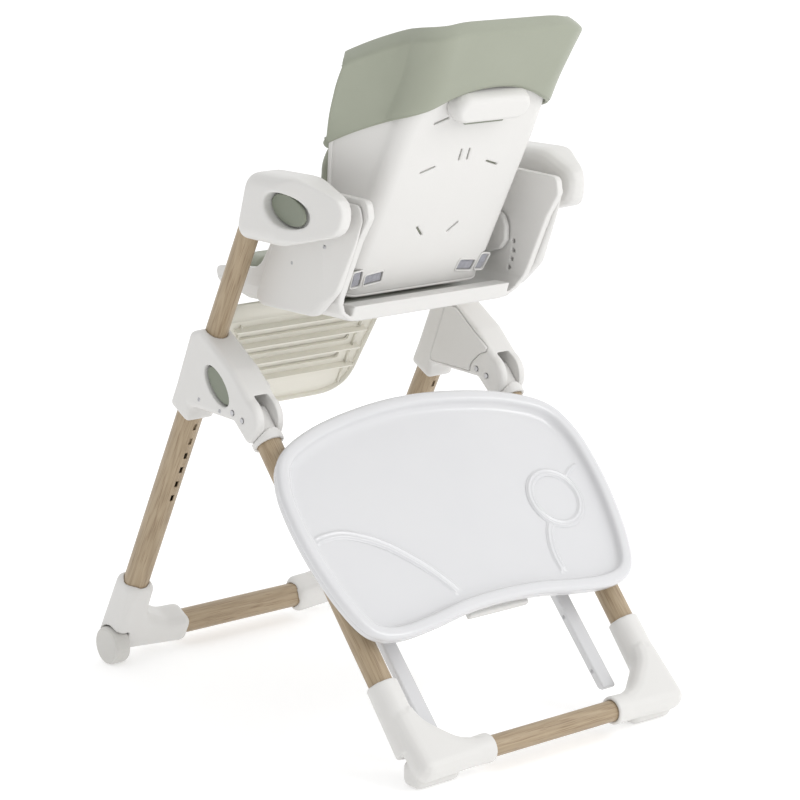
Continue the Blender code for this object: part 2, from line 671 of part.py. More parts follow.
def ear(name, side):
    """Latch ear: carries the recline pivot, beside the shell's lower wing."""
    corners = [(-0.096, 0.716, 0.012), (-0.052, 0.700, 0.01), (-0.010, 0.713, 0.015), (0.004, 0.728, 0.010),
               (0.004, 0.752, 0.010), (-0.008, 0.778, 0.02), (-0.060, 0.760, 0.02), (-0.096, 0.744, 0.012)]
    body = plate(name, corners, 0.010, side_frame(side * 0.1725), "white_shell", back, 0.003)
    inner, outer = Vector((side * 0.1480, *RECLINE)), Vector((side * 0.1880, *RECLINE))
    combine(body, rod(f"add_{name}", inner, outer, 0.0080, "white_shell", back, 16), "UNION")


def strap_anchor(name, side, x, v, size, turn):
    """Webbing loop and its bar, seen in the shell's lower windows."""
    lie = back_frame(side * x, v, -0.0022) @ Matrix.Rotation(math.radians(side * -turn), 4, "Z")
    box(name, (*size, 0.0030), lie, "webbing", back, 0.0006, 1)


def recline_handle():
    """Cup-shaped pull on the back of the shell, open underneath."""
    corners = [(-0.073, 0.296, 0.015), (0.073, 0.296, 0.015), (0.073, 0.3455, 0.024), (-0.073, 0.3455, 0.024)]
    lie = back_frame(0, 0, GAP + 0.014)
    body = plate("recline_handle", corners, 0.028, lie, "white_shell", back, 0.009, 3)
    mouth = box("cut_handle", (0.102, 0.056, 0.022), back_frame(0, 0.3095, 0.0125), "steel", back, 0.006)
    combine(body, mouth)


def recline_lever():
    """Sage lever in the pull's mouth, squeezed upwards to free the backrest."""
    box("recline_lever", (0.076, 0.036, 0.006), back_frame(0, 0.3075, 0.0110), "sage_plastic", back, 0.002)


def head_cover():
    """Hood of the padded cover over the top of the shell: a thick skin with a curved hem."""
    grow = 0.0068
    rows = wrap_rows((0, 0.3, 0.6, 0.85, 1), lambda kind, value: hem_edge(run_of(kind, value)), wing_top, grow)
    rows.append([Vector((p.x * 0.90, p.y, p.z)) + BACK_UP * 0.004 - BACK_OUT * 0.020 for p in rows[-1]])
    grid_shell("head_cover", rows, 0.0050, "sage_cover", back, 0.0)


def back_pad():
    """Padded liner of the backrest, inside the shell's wings."""
    corners = [(-0.116, 0.020, 0.02), (0.116, 0.020, 0.02), (0.122, 0.425, 0.04), (-0.122, 0.425, 0.04)]
    plate("back_pad", corners, 0.036, back_frame(0, 0, -0.0260), "sage_cover", back, 0.010)


# ---------- calf rest ----------
def calf_frame(rear=0.0):
    """Local X is +X, local Y runs down the calf rest from its hinge, local Z points rearwards."""
    lean = math.radians(30.5)
    down = Vector((0, -math.sin(lean), -math.cos(lean)))
    lie = frame(Vector((0, *CALF)), (1, 0, 0), down)
    return Matrix.Translation(lie.to_3x3() @ Vector((0, 0, rear))) @ lie


def calf_panel():
    """Ribbed panel with three long openings, hung on two arms from the seat's front."""
    corners = [(-0.158, 0.092, 0.01), (-0.146, 0.280, 0.050), (0.146, 0.280, 0.050), (0.158, 0.092, 0.01)]
    panel = plate("calf_panel", corners, 0.005, calf_frame(), "ivory_panel", calf, steps=4)
    for k, (v, half) in enumerate(((0.125, 0.122), (0.163, 0.117), (0.201, 0.110))):
        gap = [(-half, v - 0.007, 0.006), (half, v - 0.007, 0.006), (half, v + 0.007, 0.006),
               (-half, v + 0.007, 0.006)]
        combine(panel, plate(f"cut_calf_{k}", gap, 0.03, calf_frame(), "steel", calf))
    for k, v in enumerate((0.106, 0.144, 0.182, 0.221)):
        lie = calf_frame(0.0075) @ Matrix.Translation((0, v, 0))
        combine(panel, box(f"add_calf_{k}", (0.280, 0.003, 0.014), lie, "ivory_panel", calf), "UNION")
    for side in (1, -1):
        name = "left" if side > 0 else "right"
        foot = calf_frame() @ Matrix.Translation((side * 0.1535, 0.105, 0))
        combine(panel, box(f"add_calf_foot_{name}", (0.034, 0.024, 0.005), foot, "ivory_panel", calf), "UNION")
        arm = [(-0.012, 0.010, 0.010), (0.012, 0.012, 0.010), (0.012, -0.116), (-0.0025, -0.116)]
        turn = frame((0, 0, 0), (0, 0, 1), (0, -1, 0)).to_4x4()
        lie = calf_frame() @ Matrix.Translation((side * 0.1690, 0, 0)) @ turn
        combine(panel, plate(f"add_calf_arm_{name}", arm, 0.006, lie, "ivory_panel", calf), "UNION")
        inner, outer = Vector((side * 0.1680, *CALF)), Vector((side * 0.1900, *CALF))
        combine(panel, rod(f"add_calf_stub_{name}", inner, outer, 0.0060, "ivory_panel", calf, 16), "UNION")


def calf_pad():
    """Plain cushion on the front of the calf panel."""
    corners = [(-0.150, 0.074, 0.02), (-0.140, 0.274, 0.050), (0.140, 0.274, 0.050), (0.150, 0.074, 0.02)]
    plate("calf_pad", corners, 0.018, calf_frame(-0.0122), "sage_cover", calf, 0.006)


# ---------- tray ----------
def tray_frame(lift, s=0.0, x=0.0):
    """Local X is +X, local Y runs up the tray from its belly edge, lift stands out from its top face."""
    origin = Vector((x, *TRAY_FOOT)) + TRAY_OUT * lift + TRAY_UP * s
    return frame(origin, (1, 0, 0), TRAY_UP)


def flowing(knots, steps=3):
    """A closed smooth line through its knots."""
    points = []
    for i in range(len(knots)):
        a, b, c, d = (Vector(knots[(i + k) % len(knots)]) for k in (-1, 0, 1, 2))
        for k in range(steps):
            t = k / steps
            points.append(0.5 * (2 * b + (c - a) * t + (2 * a - 5 * b + 4 * c - d) * t ** 2
                                 + (3 * b - a - 3 * c + d) * t ** 3))
    return points


def tray_outline(shrink=0.0):
    """Tray plan: bowed outer edge on top, belly cut-out below, wide round ends."""
    half = [(0.075, 0.0565), (0.140, 0.0465), (0.212, 0.0410), (0.262, 0.0580), (0.288, 0.112), (0.303, 0.190),
            (0.306, 0.262), (0.298, 0.322), (0.268, 0.374), (0.190, 0.408), (0.090, 0.427)]
    knots = [(0, 0.060)] + half + [(0, 0.433)] + [(-x, y) for x, y in reversed(half)]
    return inset(flowing([(x, y - 0.060) for x, y in knots], 3), shrink)


def inset(points, distance):
    """The closed outline moved inwards by a distance."""
    moved = []
    for i, here in enumerate(points):
        run = (points[(i + 1) % len(points)] - points[i - 1]).normalized()
        moved.append(here + Vector((-run.y, run.x)) * distance)
    return moved


def tray_layer(name, shrink, low, high, parent, round_edge=0.0):
    """The tray's outline, inset, from one height under its top face to another."""
    mesh = outline_mesh(name, tray_outline(shrink), high - low)
    obj = place(name, mesh, tray_frame((low + high) / 2), "tray_white", parent)
    if round_edge:
        bevel(obj, round_edge, 2)
    smooth(obj)
    return obj


def tray_base():
    """Tray body, hollowed for its liner."""
    body = tray_layer("tray_base", 0.0025, -TRAY_THICK, -0.0125, tray, 0.005)
    combine(body, tray_layer("cut_tray", 0.0130, -TRAY_THICK + 0.0030, 0.02, tray))


def tray_insert():
    """Lift-out liner: an outer rim on the base and a floor down inside it."""
    body = tray_layer("tray_insert", 0.0, -0.0122, 0.0, tray_insert_axis, 0.0045)
    combine(body, tray_layer("add_insert", 0.0135, -0.0225, -0.006, tray_insert_axis), "UNION")
    combine(body, tray_layer("cut_insert", 0.0200, -0.0195, 0.02, tray_insert_axis))


def tray_arm(name, side):
    """Arm that slides into the armrest when the tray is in use, hung under the tray by a web."""
    base = -TRAY_THICK - GAP
    corners = [(-0.152, -0.098, 0.010), (-0.152, -0.084, 0.004), (0.040, -0.084, 0.020), (0.080, base),
               (0.240, base), (0.270, -0.084, 0.020), (0.270, -0.098, 0.004)]
    origin = Vector((side * 0.178, *TRAY_FOOT))
    plate(name, corners, 0.026, frame(origin, TRAY_UP, TRAY_OUT), "tray_white", tray, 0.0028)


def tray_release():
    """Squeeze lever under the belly edge."""
    lie = tray_frame(-TRAY_THICK - 0.0062, 0.022)
    box("tray_release", (0.120, 0.052, 0.0110), lie, "white_shell", tray, 0.003)


tray_insert_axis = empty("tray_insert_lift", *rear_point(0.30)[1:], parent=tray)

for label, sign in SIDES:
    front_tube(f"front_tube_{label}", sign)
    front_foot(f"front_foot_{label}", sign)
    wheel(f"wheel_{label}", sign)
    hinge_housing(f"hinge_housing_{label}", sign)
    hinge_cover(f"hinge_cover_{label}", sign)
    for bolt_name, at in (("pivot_bolt", PIVOT), ("stop_bolt", (PIVOT[0] - 0.025, PIVOT[1] + 0.008))):
        bolt(f"{bolt_name}_{label}", sign, at)
        drill(f"cut_{bolt_name}_{label}", bpy.data.objects[f"hinge_housing_{label}"], sign, at)
    drill(f"cut_knuckle_{label}", knuckle(f"leg_knuckle_{label}", sign), sign, PIVOT, 0.0041)
    rear_tube(f"rear_tube_{label}", sign)
    rear_foot(f"rear_foot_{label}", sign)
    column(f"column_{label}", sign)
    height_pin(f"height_pin_{label}", sign)
    armrest(f"armrest_{label}", sign)
    trigger(f"height_trigger_{label}", sign, (0.017, 0.822), 0.044, 0.0245, math.radians(-14), 0.2580, seat)
    trigger(f"fold_trigger_{label}", sign, (-0.166, 0.529), 0.039, 0.0205, math.radians(-42),
            HOUSING_OUT - 0.0145, root)
    side_panel(f"side_panel_{label}", sign)
    ear(f"recline_ear_{label}", sign)
    strap_anchor(f"waist_anchor_{label}", sign, 0.092, 0.005, (0.030, 0.017), 8)
    strap_anchor(f"hip_anchor_{label}", sign, 0.125, 0.007, (0.014, 0.027), 8)
    tray_arm(f"tray_arm_{label}", sign)

BAR_END = LEG_X - 0.0605
pipe("front_crossbar", (-BAR_END, *FRONT_FOOT), (BAR_END, *FRONT_FOOT), R_FRONT, "wood_foil", root)
pipe("rear_crossbar", (-BAR_END, *REAR_BAR), (BAR_END, *REAR_BAR), R_REAR_BAR, "wood_foil", rear_frame)
tub()
seat_pad()
crotch_post()
backrest_shell()
recline_handle()
recline_lever()
head_cover()
back_pad()
calf_panel()
calf_pad()
tray_base()
tray_insert()
tray_release()
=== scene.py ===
# %% [markdown]
# # A folding baby high chair, dressed
# The frame holds the chair's working parts, each riding on the body it moves with. This lesson gives
# them their looks: oak-patterned tubes, moulded white plastic, a polished tray and sage cushions.
# Everything is in metres. The child faces -Y, and +X is the child's left.

# %% Open the frame
import json
import math

import bmesh
import bpy
import numpy as np
from mathutils import Matrix, Vector, noise


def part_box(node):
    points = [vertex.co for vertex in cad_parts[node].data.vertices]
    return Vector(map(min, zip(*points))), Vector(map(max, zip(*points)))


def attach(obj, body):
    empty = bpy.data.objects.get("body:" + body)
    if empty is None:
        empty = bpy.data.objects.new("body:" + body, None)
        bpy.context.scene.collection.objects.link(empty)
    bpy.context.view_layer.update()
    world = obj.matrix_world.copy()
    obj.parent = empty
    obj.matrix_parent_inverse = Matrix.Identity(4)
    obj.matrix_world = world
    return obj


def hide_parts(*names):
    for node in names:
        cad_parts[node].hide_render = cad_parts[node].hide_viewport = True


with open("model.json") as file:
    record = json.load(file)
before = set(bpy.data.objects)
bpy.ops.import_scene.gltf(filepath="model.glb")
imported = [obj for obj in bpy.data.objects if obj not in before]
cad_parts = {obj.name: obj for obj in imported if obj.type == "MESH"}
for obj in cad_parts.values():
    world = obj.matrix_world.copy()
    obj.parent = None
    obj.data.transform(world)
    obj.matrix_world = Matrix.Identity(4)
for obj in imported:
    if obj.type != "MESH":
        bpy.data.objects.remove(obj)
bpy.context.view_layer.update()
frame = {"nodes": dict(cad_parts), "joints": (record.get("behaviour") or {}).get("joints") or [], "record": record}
NODES = frame["nodes"]
JOINTS = {joint["name"]: joint for joint in frame["joints"]}
SIDES = (("left", 1), ("right", -1))

# %% [markdown]
# Every direction on the chair comes from a joint. The seat slides down the front tubes, the recline
# lever is squeezed up the backrest, and the tray lifts straight off its face, so three joint axes and
# two pivots say where the slanted parts lie.

# %% Read the slanted axes from the joints
def joint_axis(name, sign=1):
    return sign * Vector(JOINTS[name]["axis"]).normalized()


FRONT_UP = joint_axis("seat_height", -1)
BACK_UP = joint_axis("recline_lever_squeeze")
BACK_OUT = Vector((0, BACK_UP.z, -BACK_UP.y))
TRAY_UP = joint_axis("tray_release_squeeze")
TRAY_OUT = joint_axis("tray_lift_off")
FOLD_PIVOT = Vector(JOINTS["fold"]["pos_m"])
RECLINE_PIVOT = Vector(JOINTS["recline"]["pos_m"])
CALF_PIVOT = Vector(JOINTS["calf_rest"]["pos_m"])
SHIFT_Y = RECLINE_PIVOT.y + 0.075  # the side view's own zero, measured from the frame's
LEG_X = sum(corner.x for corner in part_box("rear_tube_left")) / 2


def middle(node):
    low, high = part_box(node)
    return (Vector(low) + Vector(high)) / 2


REAR_DOWN = (middle("rear_tube_left") - FOLD_PIVOT - Vector((LEG_X, 0, 0))).normalized()
print("front tubes lean", round(math.degrees(FRONT_UP.angle(Vector((0, 0, 1)))), 1), "degrees")

# %% [markdown]
# ## Shader maths in plain Python
# A shader is a sum of small steps. Wrapping a socket in a class lets those steps be written as
# ordinary expressions, so that `1 - mask * 0.3` adds its own Math nodes.

# %% A socket that can be added and multiplied
class Signal:
    def __init__(self, finish, socket):
        self.finish = finish
        self.socket = socket

    def maths(self, operation, first, second):
        return self.finish.add("ShaderNodeMath", {"operation": operation}, {0: first, 1: second})

    def __add__(self, other):
        return self.maths("ADD", self, other)

    def __radd__(self, other):
        return self.maths("ADD", other, self)

    def __sub__(self, other):
        return self.maths("SUBTRACT", self, other)

    def __rsub__(self, other):
        return self.maths("SUBTRACT", other, self)

    def __mul__(self, other):
        return self.maths("MULTIPLY", self, other)

    def __rmul__(self, other):
        return self.maths("MULTIPLY", other, self)

    def __pow__(self, other):
        return self.maths("POWER", self, other)


print("a socket can be added, taken away, multiplied and raised to a power")

# %% [markdown]
# A finish is one Principled material. Numbers that are the same all over go straight on its sockets,
# and anything that changes over the surface comes through `put` or `bump`. Every other node is added
# by one method, which takes its type, its settings and its inputs.

# %% A finish that adds its own nodes
class Finish:
    """One Principled material, and the method that adds any other node to it."""

    def __init__(self, name, roughness=0.45, metallic=0.0, **constants):
        self.material = bpy.data.materials.new(name)
        self.material.use_nodes = True
        self.tree = self.material.node_tree
        self.shader = self.tree.nodes["Principled BSDF"]
        self.shader.inputs["Roughness"].default_value = roughness
        self.shader.inputs["Metallic"].default_value = metallic
        for socket, value in constants.items():
            self.shader.inputs[socket.replace("_", " ")].default_value = value

    def add(self, kind, settings=None, inputs=None, output=0):
        node = self.tree.nodes.new(kind)
        for key, value in (settings or {}).items():
            if key == "stops":
                self.set_stops(node.color_ramp, value)
            else:
                setattr(node, key, value)
        for key, value in (inputs or {}).items():
            self.feed(node.inputs[key], value)
        return Signal(self, node.outputs[output])

    def set_stops(self, ramp, stops):
        while len(ramp.elements) < len(stops):
            ramp.elements.new(0.5)
        for element, (position, colour) in zip(ramp.elements, stops):
            element.position = position
            element.color = (*colour, 1)

    def feed(self, socket, value):
        if isinstance(value, Signal):
            self.tree.links.new(value.socket, socket)
        else:
            socket.default_value = value

    def point(self):
        return self.add("ShaderNodeTexCoord", output="Object")

    def along(self, direction):
        return self.add("ShaderNodeVectorMath", {"operation": "DOT_PRODUCT"},
                        {0: self.point(), 1: tuple(direction)}, output="Value")

    def grain(self, scale, detail=2.0, roughness=0.5, vector=None, distortion=0.0):
        return self.add("ShaderNodeTexNoise", None, {
            "Vector": vector or self.point(), "Scale": scale, "Detail": detail,
            "Roughness": roughness, "Distortion": distortion})

    def ramp(self, factor, stops):
        return self.add("ShaderNodeValToRGB", {"stops": stops}, {"Fac": factor})

    def tint(self, factor, first, second, mode="MIX"):
        return self.add("ShaderNodeMix", {"data_type": "RGBA", "blend_type": mode},
                        {"Factor": factor, 6: first, 7: second}, output=2)

    def put(self, **links):
        for socket, value in links.items():
            self.feed(self.shader.inputs[socket.replace("_", " ")], value)
        return self

    def bump(self, height, strength, distance=0.001):
        return self.put(Normal=self.add("ShaderNodeBump", None, {
            "Strength": strength, "Distance": distance, "Height": height}))


print("shader helpers ready")

# %% [markdown]
# ## Moulded plastics
# Injection-moulded plastic is never one flat colour: the mould leaves a fine spark-eroded grain, gloss
# drifts over a part as it cools, and handling polishes it in patches. Three scales of noise give that:
# a wide one for the colour, a middle one for the gloss and a very fine one for the grain.

# %% White, ivory, sage and grey mouldings
def rgb(red, green, blue):
    return (red, green, blue, 1.0)


def moulding(name, light, dark, roughness, grain_depth, coat=0.0):
    finish = Finish(name, roughness, IOR=1.49, Coat_Weight=coat, Coat_Roughness=0.25)
    wide = finish.grain(7.0, 3.0)
    patches = finish.grain(38.0, 4.0, 0.6)
    fine = finish.grain(2600.0, 1.0)
    specks = finish.grain(310.0, 2.0)
    colour = finish.tint(wide * 0.7 + specks * 0.3, rgb(*light), rgb(*dark))
    finish.put(Base_Color=colour, Roughness=patches * 0.16 + (roughness - 0.08))
    return finish.bump(fine * 0.7 + specks * 0.3, grain_depth, 0.0004)


WHITE = moulding("white_moulding", (0.72, 0.712, 0.695), (0.685, 0.675, 0.655), 0.42, 0.16)
IVORY = moulding("ivory_moulding", (0.83, 0.81, 0.735), (0.79, 0.77, 0.69), 0.48, 0.16)
SAGE = moulding("sage_moulding", (0.235, 0.255, 0.20), (0.20, 0.22, 0.17), 0.46, 0.2)
WHEEL = moulding("wheel_moulding", (0.66, 0.65, 0.62), (0.58, 0.57, 0.545), 0.52, 0.3)
print("four mouldings")

# %% [markdown]
# The tray is polished, so its lights are small and sharp under a clear skin, with only a slow ripple
# where the plastic shrank over its ribs.

# %% Polished tray plastic
def polished(name, light, dark):
    finish = Finish(name, 0.2, IOR=1.5, Coat_Weight=0.35, Coat_Roughness=0.05)
    ripple = finish.grain(9.0, 1.0)
    marks = finish.grain(160.0, 5.0, 0.75)
    finish.put(Base_Color=finish.tint(ripple, rgb(*light), rgb(*dark)), Roughness=marks * 0.16 + 0.12)
    return finish.bump(ripple * 0.95 + marks * 0.05, 0.12, 0.002)


TRAY = polished("tray_polish", (0.685, 0.685, 0.695), (0.655, 0.657, 0.672))
print("tray polish")

# %% [markdown]
# ## Oak-patterned film on the tubes
# The steel tubes wear a printed oak film. Its figure runs along the tube, so each tube's material
# squeezes the noise across the tube and stretches it along the tube's own axis. Bands of late wood
# come from a wave bent by that noise, pores are short dark dashes, and a few medullary flecks are pale.

# %% Oak film along a direction
def oak(name, direction):
    finish = Finish(name, 0.46, IOR=1.47, Coat_Weight=0.12, Coat_Roughness=0.35)
    direction = Vector(direction)
    side = direction.cross(Vector((1, 0, 0) if abs(direction.x) < 0.5 else (0, 1, 0))).normalized()
    across = direction.cross(side)
    lengthways = finish.along(direction)
    spread = {"X": finish.along(side), "Y": finish.along(across)}
    slow = finish.add("ShaderNodeCombineXYZ", None, {**spread, "Z": lengthways * 0.07})
    swift = finish.add("ShaderNodeCombineXYZ", None, {**spread, "Z": lengthways * 0.025})
    figure = finish.grain(34.0, 2.0, 0.5, slow, 0.25)
    bands = finish.add("ShaderNodeMath", {"operation": "FRACT"}, {0: figure * 7.0})
    edge = finish.add("ShaderNodeMath", {"operation": "PINGPONG"}, {0: bands, 1: 0.5})
    fibre = finish.grain(520.0, 4.0, 0.7, swift)
    pores = finish.grain(900.0, 1.0, 0.5, swift)
    shade = finish.ramp(edge * 0.45 + fibre * 0.62, [
        (0.18, (0.30, 0.222, 0.137)), (0.42, (0.385, 0.296, 0.192)), (0.62, (0.435, 0.343, 0.23)),
        (0.86, (0.48, 0.384, 0.266))])
    dots = finish.ramp(pores, [(0.33, (0.45, 0.34, 0.24)), (0.43, (1, 1, 1))])
    colour = finish.tint(0.55, shade, dots, "MULTIPLY")
    finish.put(Base_Color=colour, Roughness=fibre * 0.22 + 0.33)
    return finish.bump(fibre * 0.6 + pores * 0.4, 0.12, 0.0005)


OAK_FRONT = oak("oak_front_tubes", FRONT_UP)
OAK_REAR = oak("oak_rear_tubes", REAR_DOWN)
OAK_BAR = oak("oak_crossbars", (1, 0, 0))
print("oak film in three directions")

# %% [markdown]
# ## Sage leatherette, webbing and steel
# The cover is a soft-touch leatherette. Up close it has a tiny pebble, made by the borders between
# Voronoi cells, and from further off a slight cloudiness. A little sheen lifts its edges. The harness
# ends are woven, so two crossed waves give them their ribs.

# %% Soft goods and metal
def leatherette(name, light, dark):
    finish = Finish(name, 0.62, IOR=1.45, Sheen_Weight=0.25, Sheen_Roughness=0.45)
    pebble = finish.add("ShaderNodeTexVoronoi", {"feature": "DISTANCE_TO_EDGE"},
                        {"Vector": finish.point(), "Scale": 820.0})
    cloud = finish.grain(11.0, 4.0, 0.6)
    creases = finish.grain(120.0, 6.0, 0.65)
    colour = finish.tint(cloud * 0.75 + creases * 0.25, rgb(*dark), rgb(*light))
    finish.put(Base_Color=colour, Roughness=creases * 0.2 + 0.5)
    return finish.bump(pebble * 1.4 + creases * 0.5, 0.22, 0.0006)


def woven(name, light, dark):
    finish = Finish(name, 0.85, Sheen_Weight=0.3)
    ribs, weft = (finish.add("ShaderNodeTexWave", {"bands_direction": way},
                             {"Vector": finish.point(), "Scale": scale})
                  for way, scale in (("X", 380.0), ("Z", 520.0)))
    finish.put(Base_Color=finish.tint(ribs * weft, rgb(*dark), rgb(*light)))
    return finish.bump(ribs * 0.5 + weft * 0.5, 0.5, 0.0008)


def plated(name, colour):
    finish = Finish(name, 0.3, 1.0)
    streaks = finish.grain(700.0, 3.0)
    finish.put(Base_Color=finish.tint(streaks, rgb(*colour), rgb(0.42, 0.42, 0.43)),
               Roughness=streaks * 0.3 + 0.16)
    return finish.bump(streaks, 0.08, 0.0003)


COVER = leatherette("sage_leatherette", (0.345, 0.363, 0.292), (0.295, 0.312, 0.246))
# A darker copy of the same leatherette, which is painted shade: the hem binding, the top seam's piping and the
# wing rolls wear it.
SHADED_SAGE = leatherette("sage_painted_shade", (0.32, 0.34, 0.27), (0.28, 0.295, 0.23))
THREAD = woven("sage_thread", (0.50, 0.52, 0.43), (0.38, 0.40, 0.32))
WEBBING = woven("grey_webbing", (0.50, 0.50, 0.55), (0.30, 0.30, 0.34))
STEEL = plated("zinc_plate", (0.60, 0.60, 0.62))
print("covers, webbing and steel")

# %% [markdown]
# The record gives each working part a slot, which says what it is made of, so one table from slot to finish
# dresses them all. Only the oak needs more, because its figure has to run along each tube. The table read
# backwards looks up a slot for every piece that is added later, but wear does nothing with it.

# %% Which finish each working part takes
FINISH_OF_SLOT = {"white_shell": WHITE, "ivory_panel": IVORY, "sage_cover": COVER, "sage_plastic": SAGE,
                  "tray_white": TRAY, "steel": STEEL, "webbing": WEBBING, "wheel_grey": WHEEL,
                  "wood_foil": OAK_FRONT}
SLOT_OF_FINISH = {finish: slot_name for slot_name, finish in FINISH_OF_SLOT.items()}
SLOT_OF_FINISH.update({SHADED_SAGE: "sage_cover", THREAD: "sage_cover"})
OAK_OF_NODE = {"rear_tube": OAK_REAR, "front_crossbar": OAK_BAR, "rear_crossbar": OAK_BAR}
SLOT_OF_NODE = {part["node"]: part["material_slot"] for part in frame["record"]["subparts"]}


def finish_for(node):
    for start, finish in OAK_OF_NODE.items():
        if node.startswith(start):
            return finish
    return FINISH_OF_SLOT[SLOT_OF_NODE[node]]


def wear(obj, finish, slot_name):
    obj.data.materials.clear()
    obj.data.materials.append(finish.material)
    return obj


for node, obj in NODES.items():
    wear(obj, finish_for(node), SLOT_OF_NODE[node])
print(len(NODES), "parts wear their finish")

# %% [markdown]
# ## Soft moulded edges
# The working parts were cut with straight tools, so where two shapes meet there is a hard line. A real
# mould has a fillet there. Remeshing a part in small voxels and relaxing the result a few times rounds
# every line at once, inside and out, without moving its faces.

# %% Relax the mouldings
def modify(obj, kind, **settings):
    """Gives a piece one modifier, with its settings."""
    modifier = obj.modifiers.new(kind.lower(), kind)
    for key, value in settings.items():
        setattr(modifier, key, value)
    return obj


def relax(node, voxel, passes):
    modify(NODES[node], "REMESH", mode="VOXEL", voxel_size=voxel, use_smooth_shade=True)
    modify(NODES[node], "SMOOTH", iterations=passes)


SOFT_MOULDINGS = {"front_foot": (0.0016, 14), "rear_foot": (0.0016, 14), "hinge_housing": (0.0014, 8),
                  "armrest": (0.0017, 18), "leg_knuckle": (0.0014, 6), "side_panel": (0.0014, 8),
                  "recline_ear": (0.0012, 6)}
for start, (voxel, passes) in SOFT_MOULDINGS.items():
    for label, sign in SIDES:
        relax(f"{start}_{label}", voxel, passes)
relax("seat_tub", 0.0016, 6)
print("mouldings relaxed")

# %% [markdown]
# ## Tools for building pieces
# Every piece takes its finish and rides on its body as soon as it exists, so that none can be left
# behind when a joint moves. A modifier is turned into mesh straight away, because the next step
# often needs the shape that it made.

# %% Pieces that ride from the start
def piece(name, mesh, finish, body):
    obj = bpy.data.objects.new(name, mesh)
    bpy.context.scene.collection.objects.link(obj)
    smooth_shaded(obj)
    wear(obj, finish, SLOT_OF_FINISH[finish])
    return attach(obj, body)


def smooth_shaded(obj):
    obj.data.polygons.foreach_set("use_smooth", [True] * len(obj.data.polygons))


def bake(obj):
    """The piece's modifiers, turned into its own mesh."""
    graph = bpy.context.evaluated_depsgraph_get()
    mesh = bpy.data.meshes.new_from_object(obj.evaluated_get(graph))
    obj.modifiers.clear()
    obj.data = mesh
    return obj


def finer(obj):
    """One subdivision, kept as mesh."""
    return bake(modify(obj, "SUBSURF", levels=1, render_levels=1))


def sheet_of(obj, thickness, offset, **settings):
    """A surface given a wall, kept as mesh."""
    return bake(modify(obj, "SOLIDIFY", thickness=thickness, offset=offset, **settings))


def mesh_from(name, bm):
    mesh = bpy.data.meshes.new(name)
    bm.to_mesh(mesh)
    bm.free()
    return mesh


print("pieces ride as they are made")

# %% [markdown]
# Most shapes below are skins through rows of points. A tube is such a skin too: its rows are rings
# round a line, and each ring is turned from the last one as little as possible so that the tube
# doesn't twist.

# %% Skins and tubes
def skin_mesh(name, rows, closed=False, caps=None):
    """A skin through rows of points. Closed rows join end to end, and caps says which ends are filled."""
    caps = (closed, closed) if caps is None else caps
    bm = bmesh.new()
    made = [[bm.verts.new(point) for point in row] for row in rows]
    for low, high in zip(made, made[1:]):
        for k in range(len(low) - (0 if closed else 1)):
            after = (k + 1) % len(low)
            bm.faces.new((low[k], low[after], high[after], high[k]))
    if caps[0]:
        bm.faces.new(list(reversed(made[0])))
    if caps[1]:
        bm.faces.new(made[-1])
    bmesh.ops.recalc_face_normals(bm, faces=bm.faces)
    return mesh_from(name, bm)


def run_at(path, k, closed=False):
    """The direction of a line at its point k."""
    count = len(path)
    before = path[k - 1] if (closed or k) else path[0]
    after = path[(k + 1) % count] if (closed or k + 1 < count) else path[-1]
    return (Vector(after) - Vector(before)).normalized()


def ring_frames(path, closed=False):
    """At each point of a line: the point, and two directions across it that don't twist."""
    across = None
    for k, point in enumerate(path):
        run = run_at(path, k, closed)
        if across is None:
            across = run.orthogonal().normalized()
        across = (across - run * across.dot(run)).normalized()
        yield Vector(point), across, run.cross(across)


def tube_mesh(name, path, radius, sides=12):
    turns = [2 * math.pi * k / sides for k in range(sides)]
    rows = [[point + across * radius * math.cos(t) + up * radius * math.sin(t) for t in turns]
            for point, across, up in ring_frames(path)]
    return skin_mesh(name, rows, closed=True)


print("skins and tubes ready")

# %% [markdown]
# Sewing is real geometry here, so that it throws its own small shadows. A stitch is a stretched ball,
# and one walk along a line lays them at an even pitch, whatever the spacing of the line's points.

# %% Stitches, joined meshes and an easing curve
def stitch_mesh(name, path, pitch, long, thick):
    """Short rounded threads, one after another along a line."""
    bm = bmesh.new()
    walked, due = 0.0, pitch / 2
    for here, after in zip(path, path[1:]):
        here, after = Vector(here), Vector(after)
        span = (after - here).length
        while due < walked + span:
            at = Matrix.Translation(here.lerp(after, (due - walked) / span))
            turn = (after - here).to_track_quat("X", "Z").to_matrix().to_4x4()
            shape = at @ turn @ Matrix.Diagonal((long / 2, thick, thick, 1))
            bmesh.ops.create_icosphere(bm, subdivisions=1, radius=1.0, matrix=shape)
            due += pitch
        walked += span
    return mesh_from(name, bm)


def join_meshes(name, meshes):
    bm = bmesh.new()
    for mesh in meshes:
        bm.from_mesh(mesh)
    return mesh_from(name, bm)


def mirrored(points):
    """The same points on the child's other side."""
    return [Vector((-p.x, p.y, p.z)) for p in points]


def smooth_step(share):
    share = min(1.0, max(0.0, share))
    return share * share * (3 - 2 * share)


print("stitching ready, halfway eases to", smooth_step(0.5))

# %% [markdown]
# ## The backrest shell
# One moulding wraps the child's back: flat behind, with a round corner on each side and a wing that
# splays forwards. A section of it is described by where a station lies, from one wing's front edge
# round to the other. Half widths, wing reach and splay are stated at a few heights and eased between.

# %% A section of the shell, at any height
BACK_FOOT = Vector((0, SHIFT_Y - 0.007, 0.693))
HALF_WIDTHS = ((-0.026, 0.137), (0.02, 0.140), (0.25, 0.140), (0.35, 0.133), (0.40, 0.139), (0.46, 0.147))
WING_REACH = ((-0.026, 0.064), (0.13, 0.088), (0.46, 0.088))
WING_SPLAY = ((-0.026, 0.003), (0.06, 0.010), (0.13, 0.022), (0.20, 0.045), (0.26, 0.060), (0.32, 0.072),
              (0.37, 0.070), (0.46, 0.040))
SHELL_CORNER, HOOD_CORNER = 0.026, 0.042


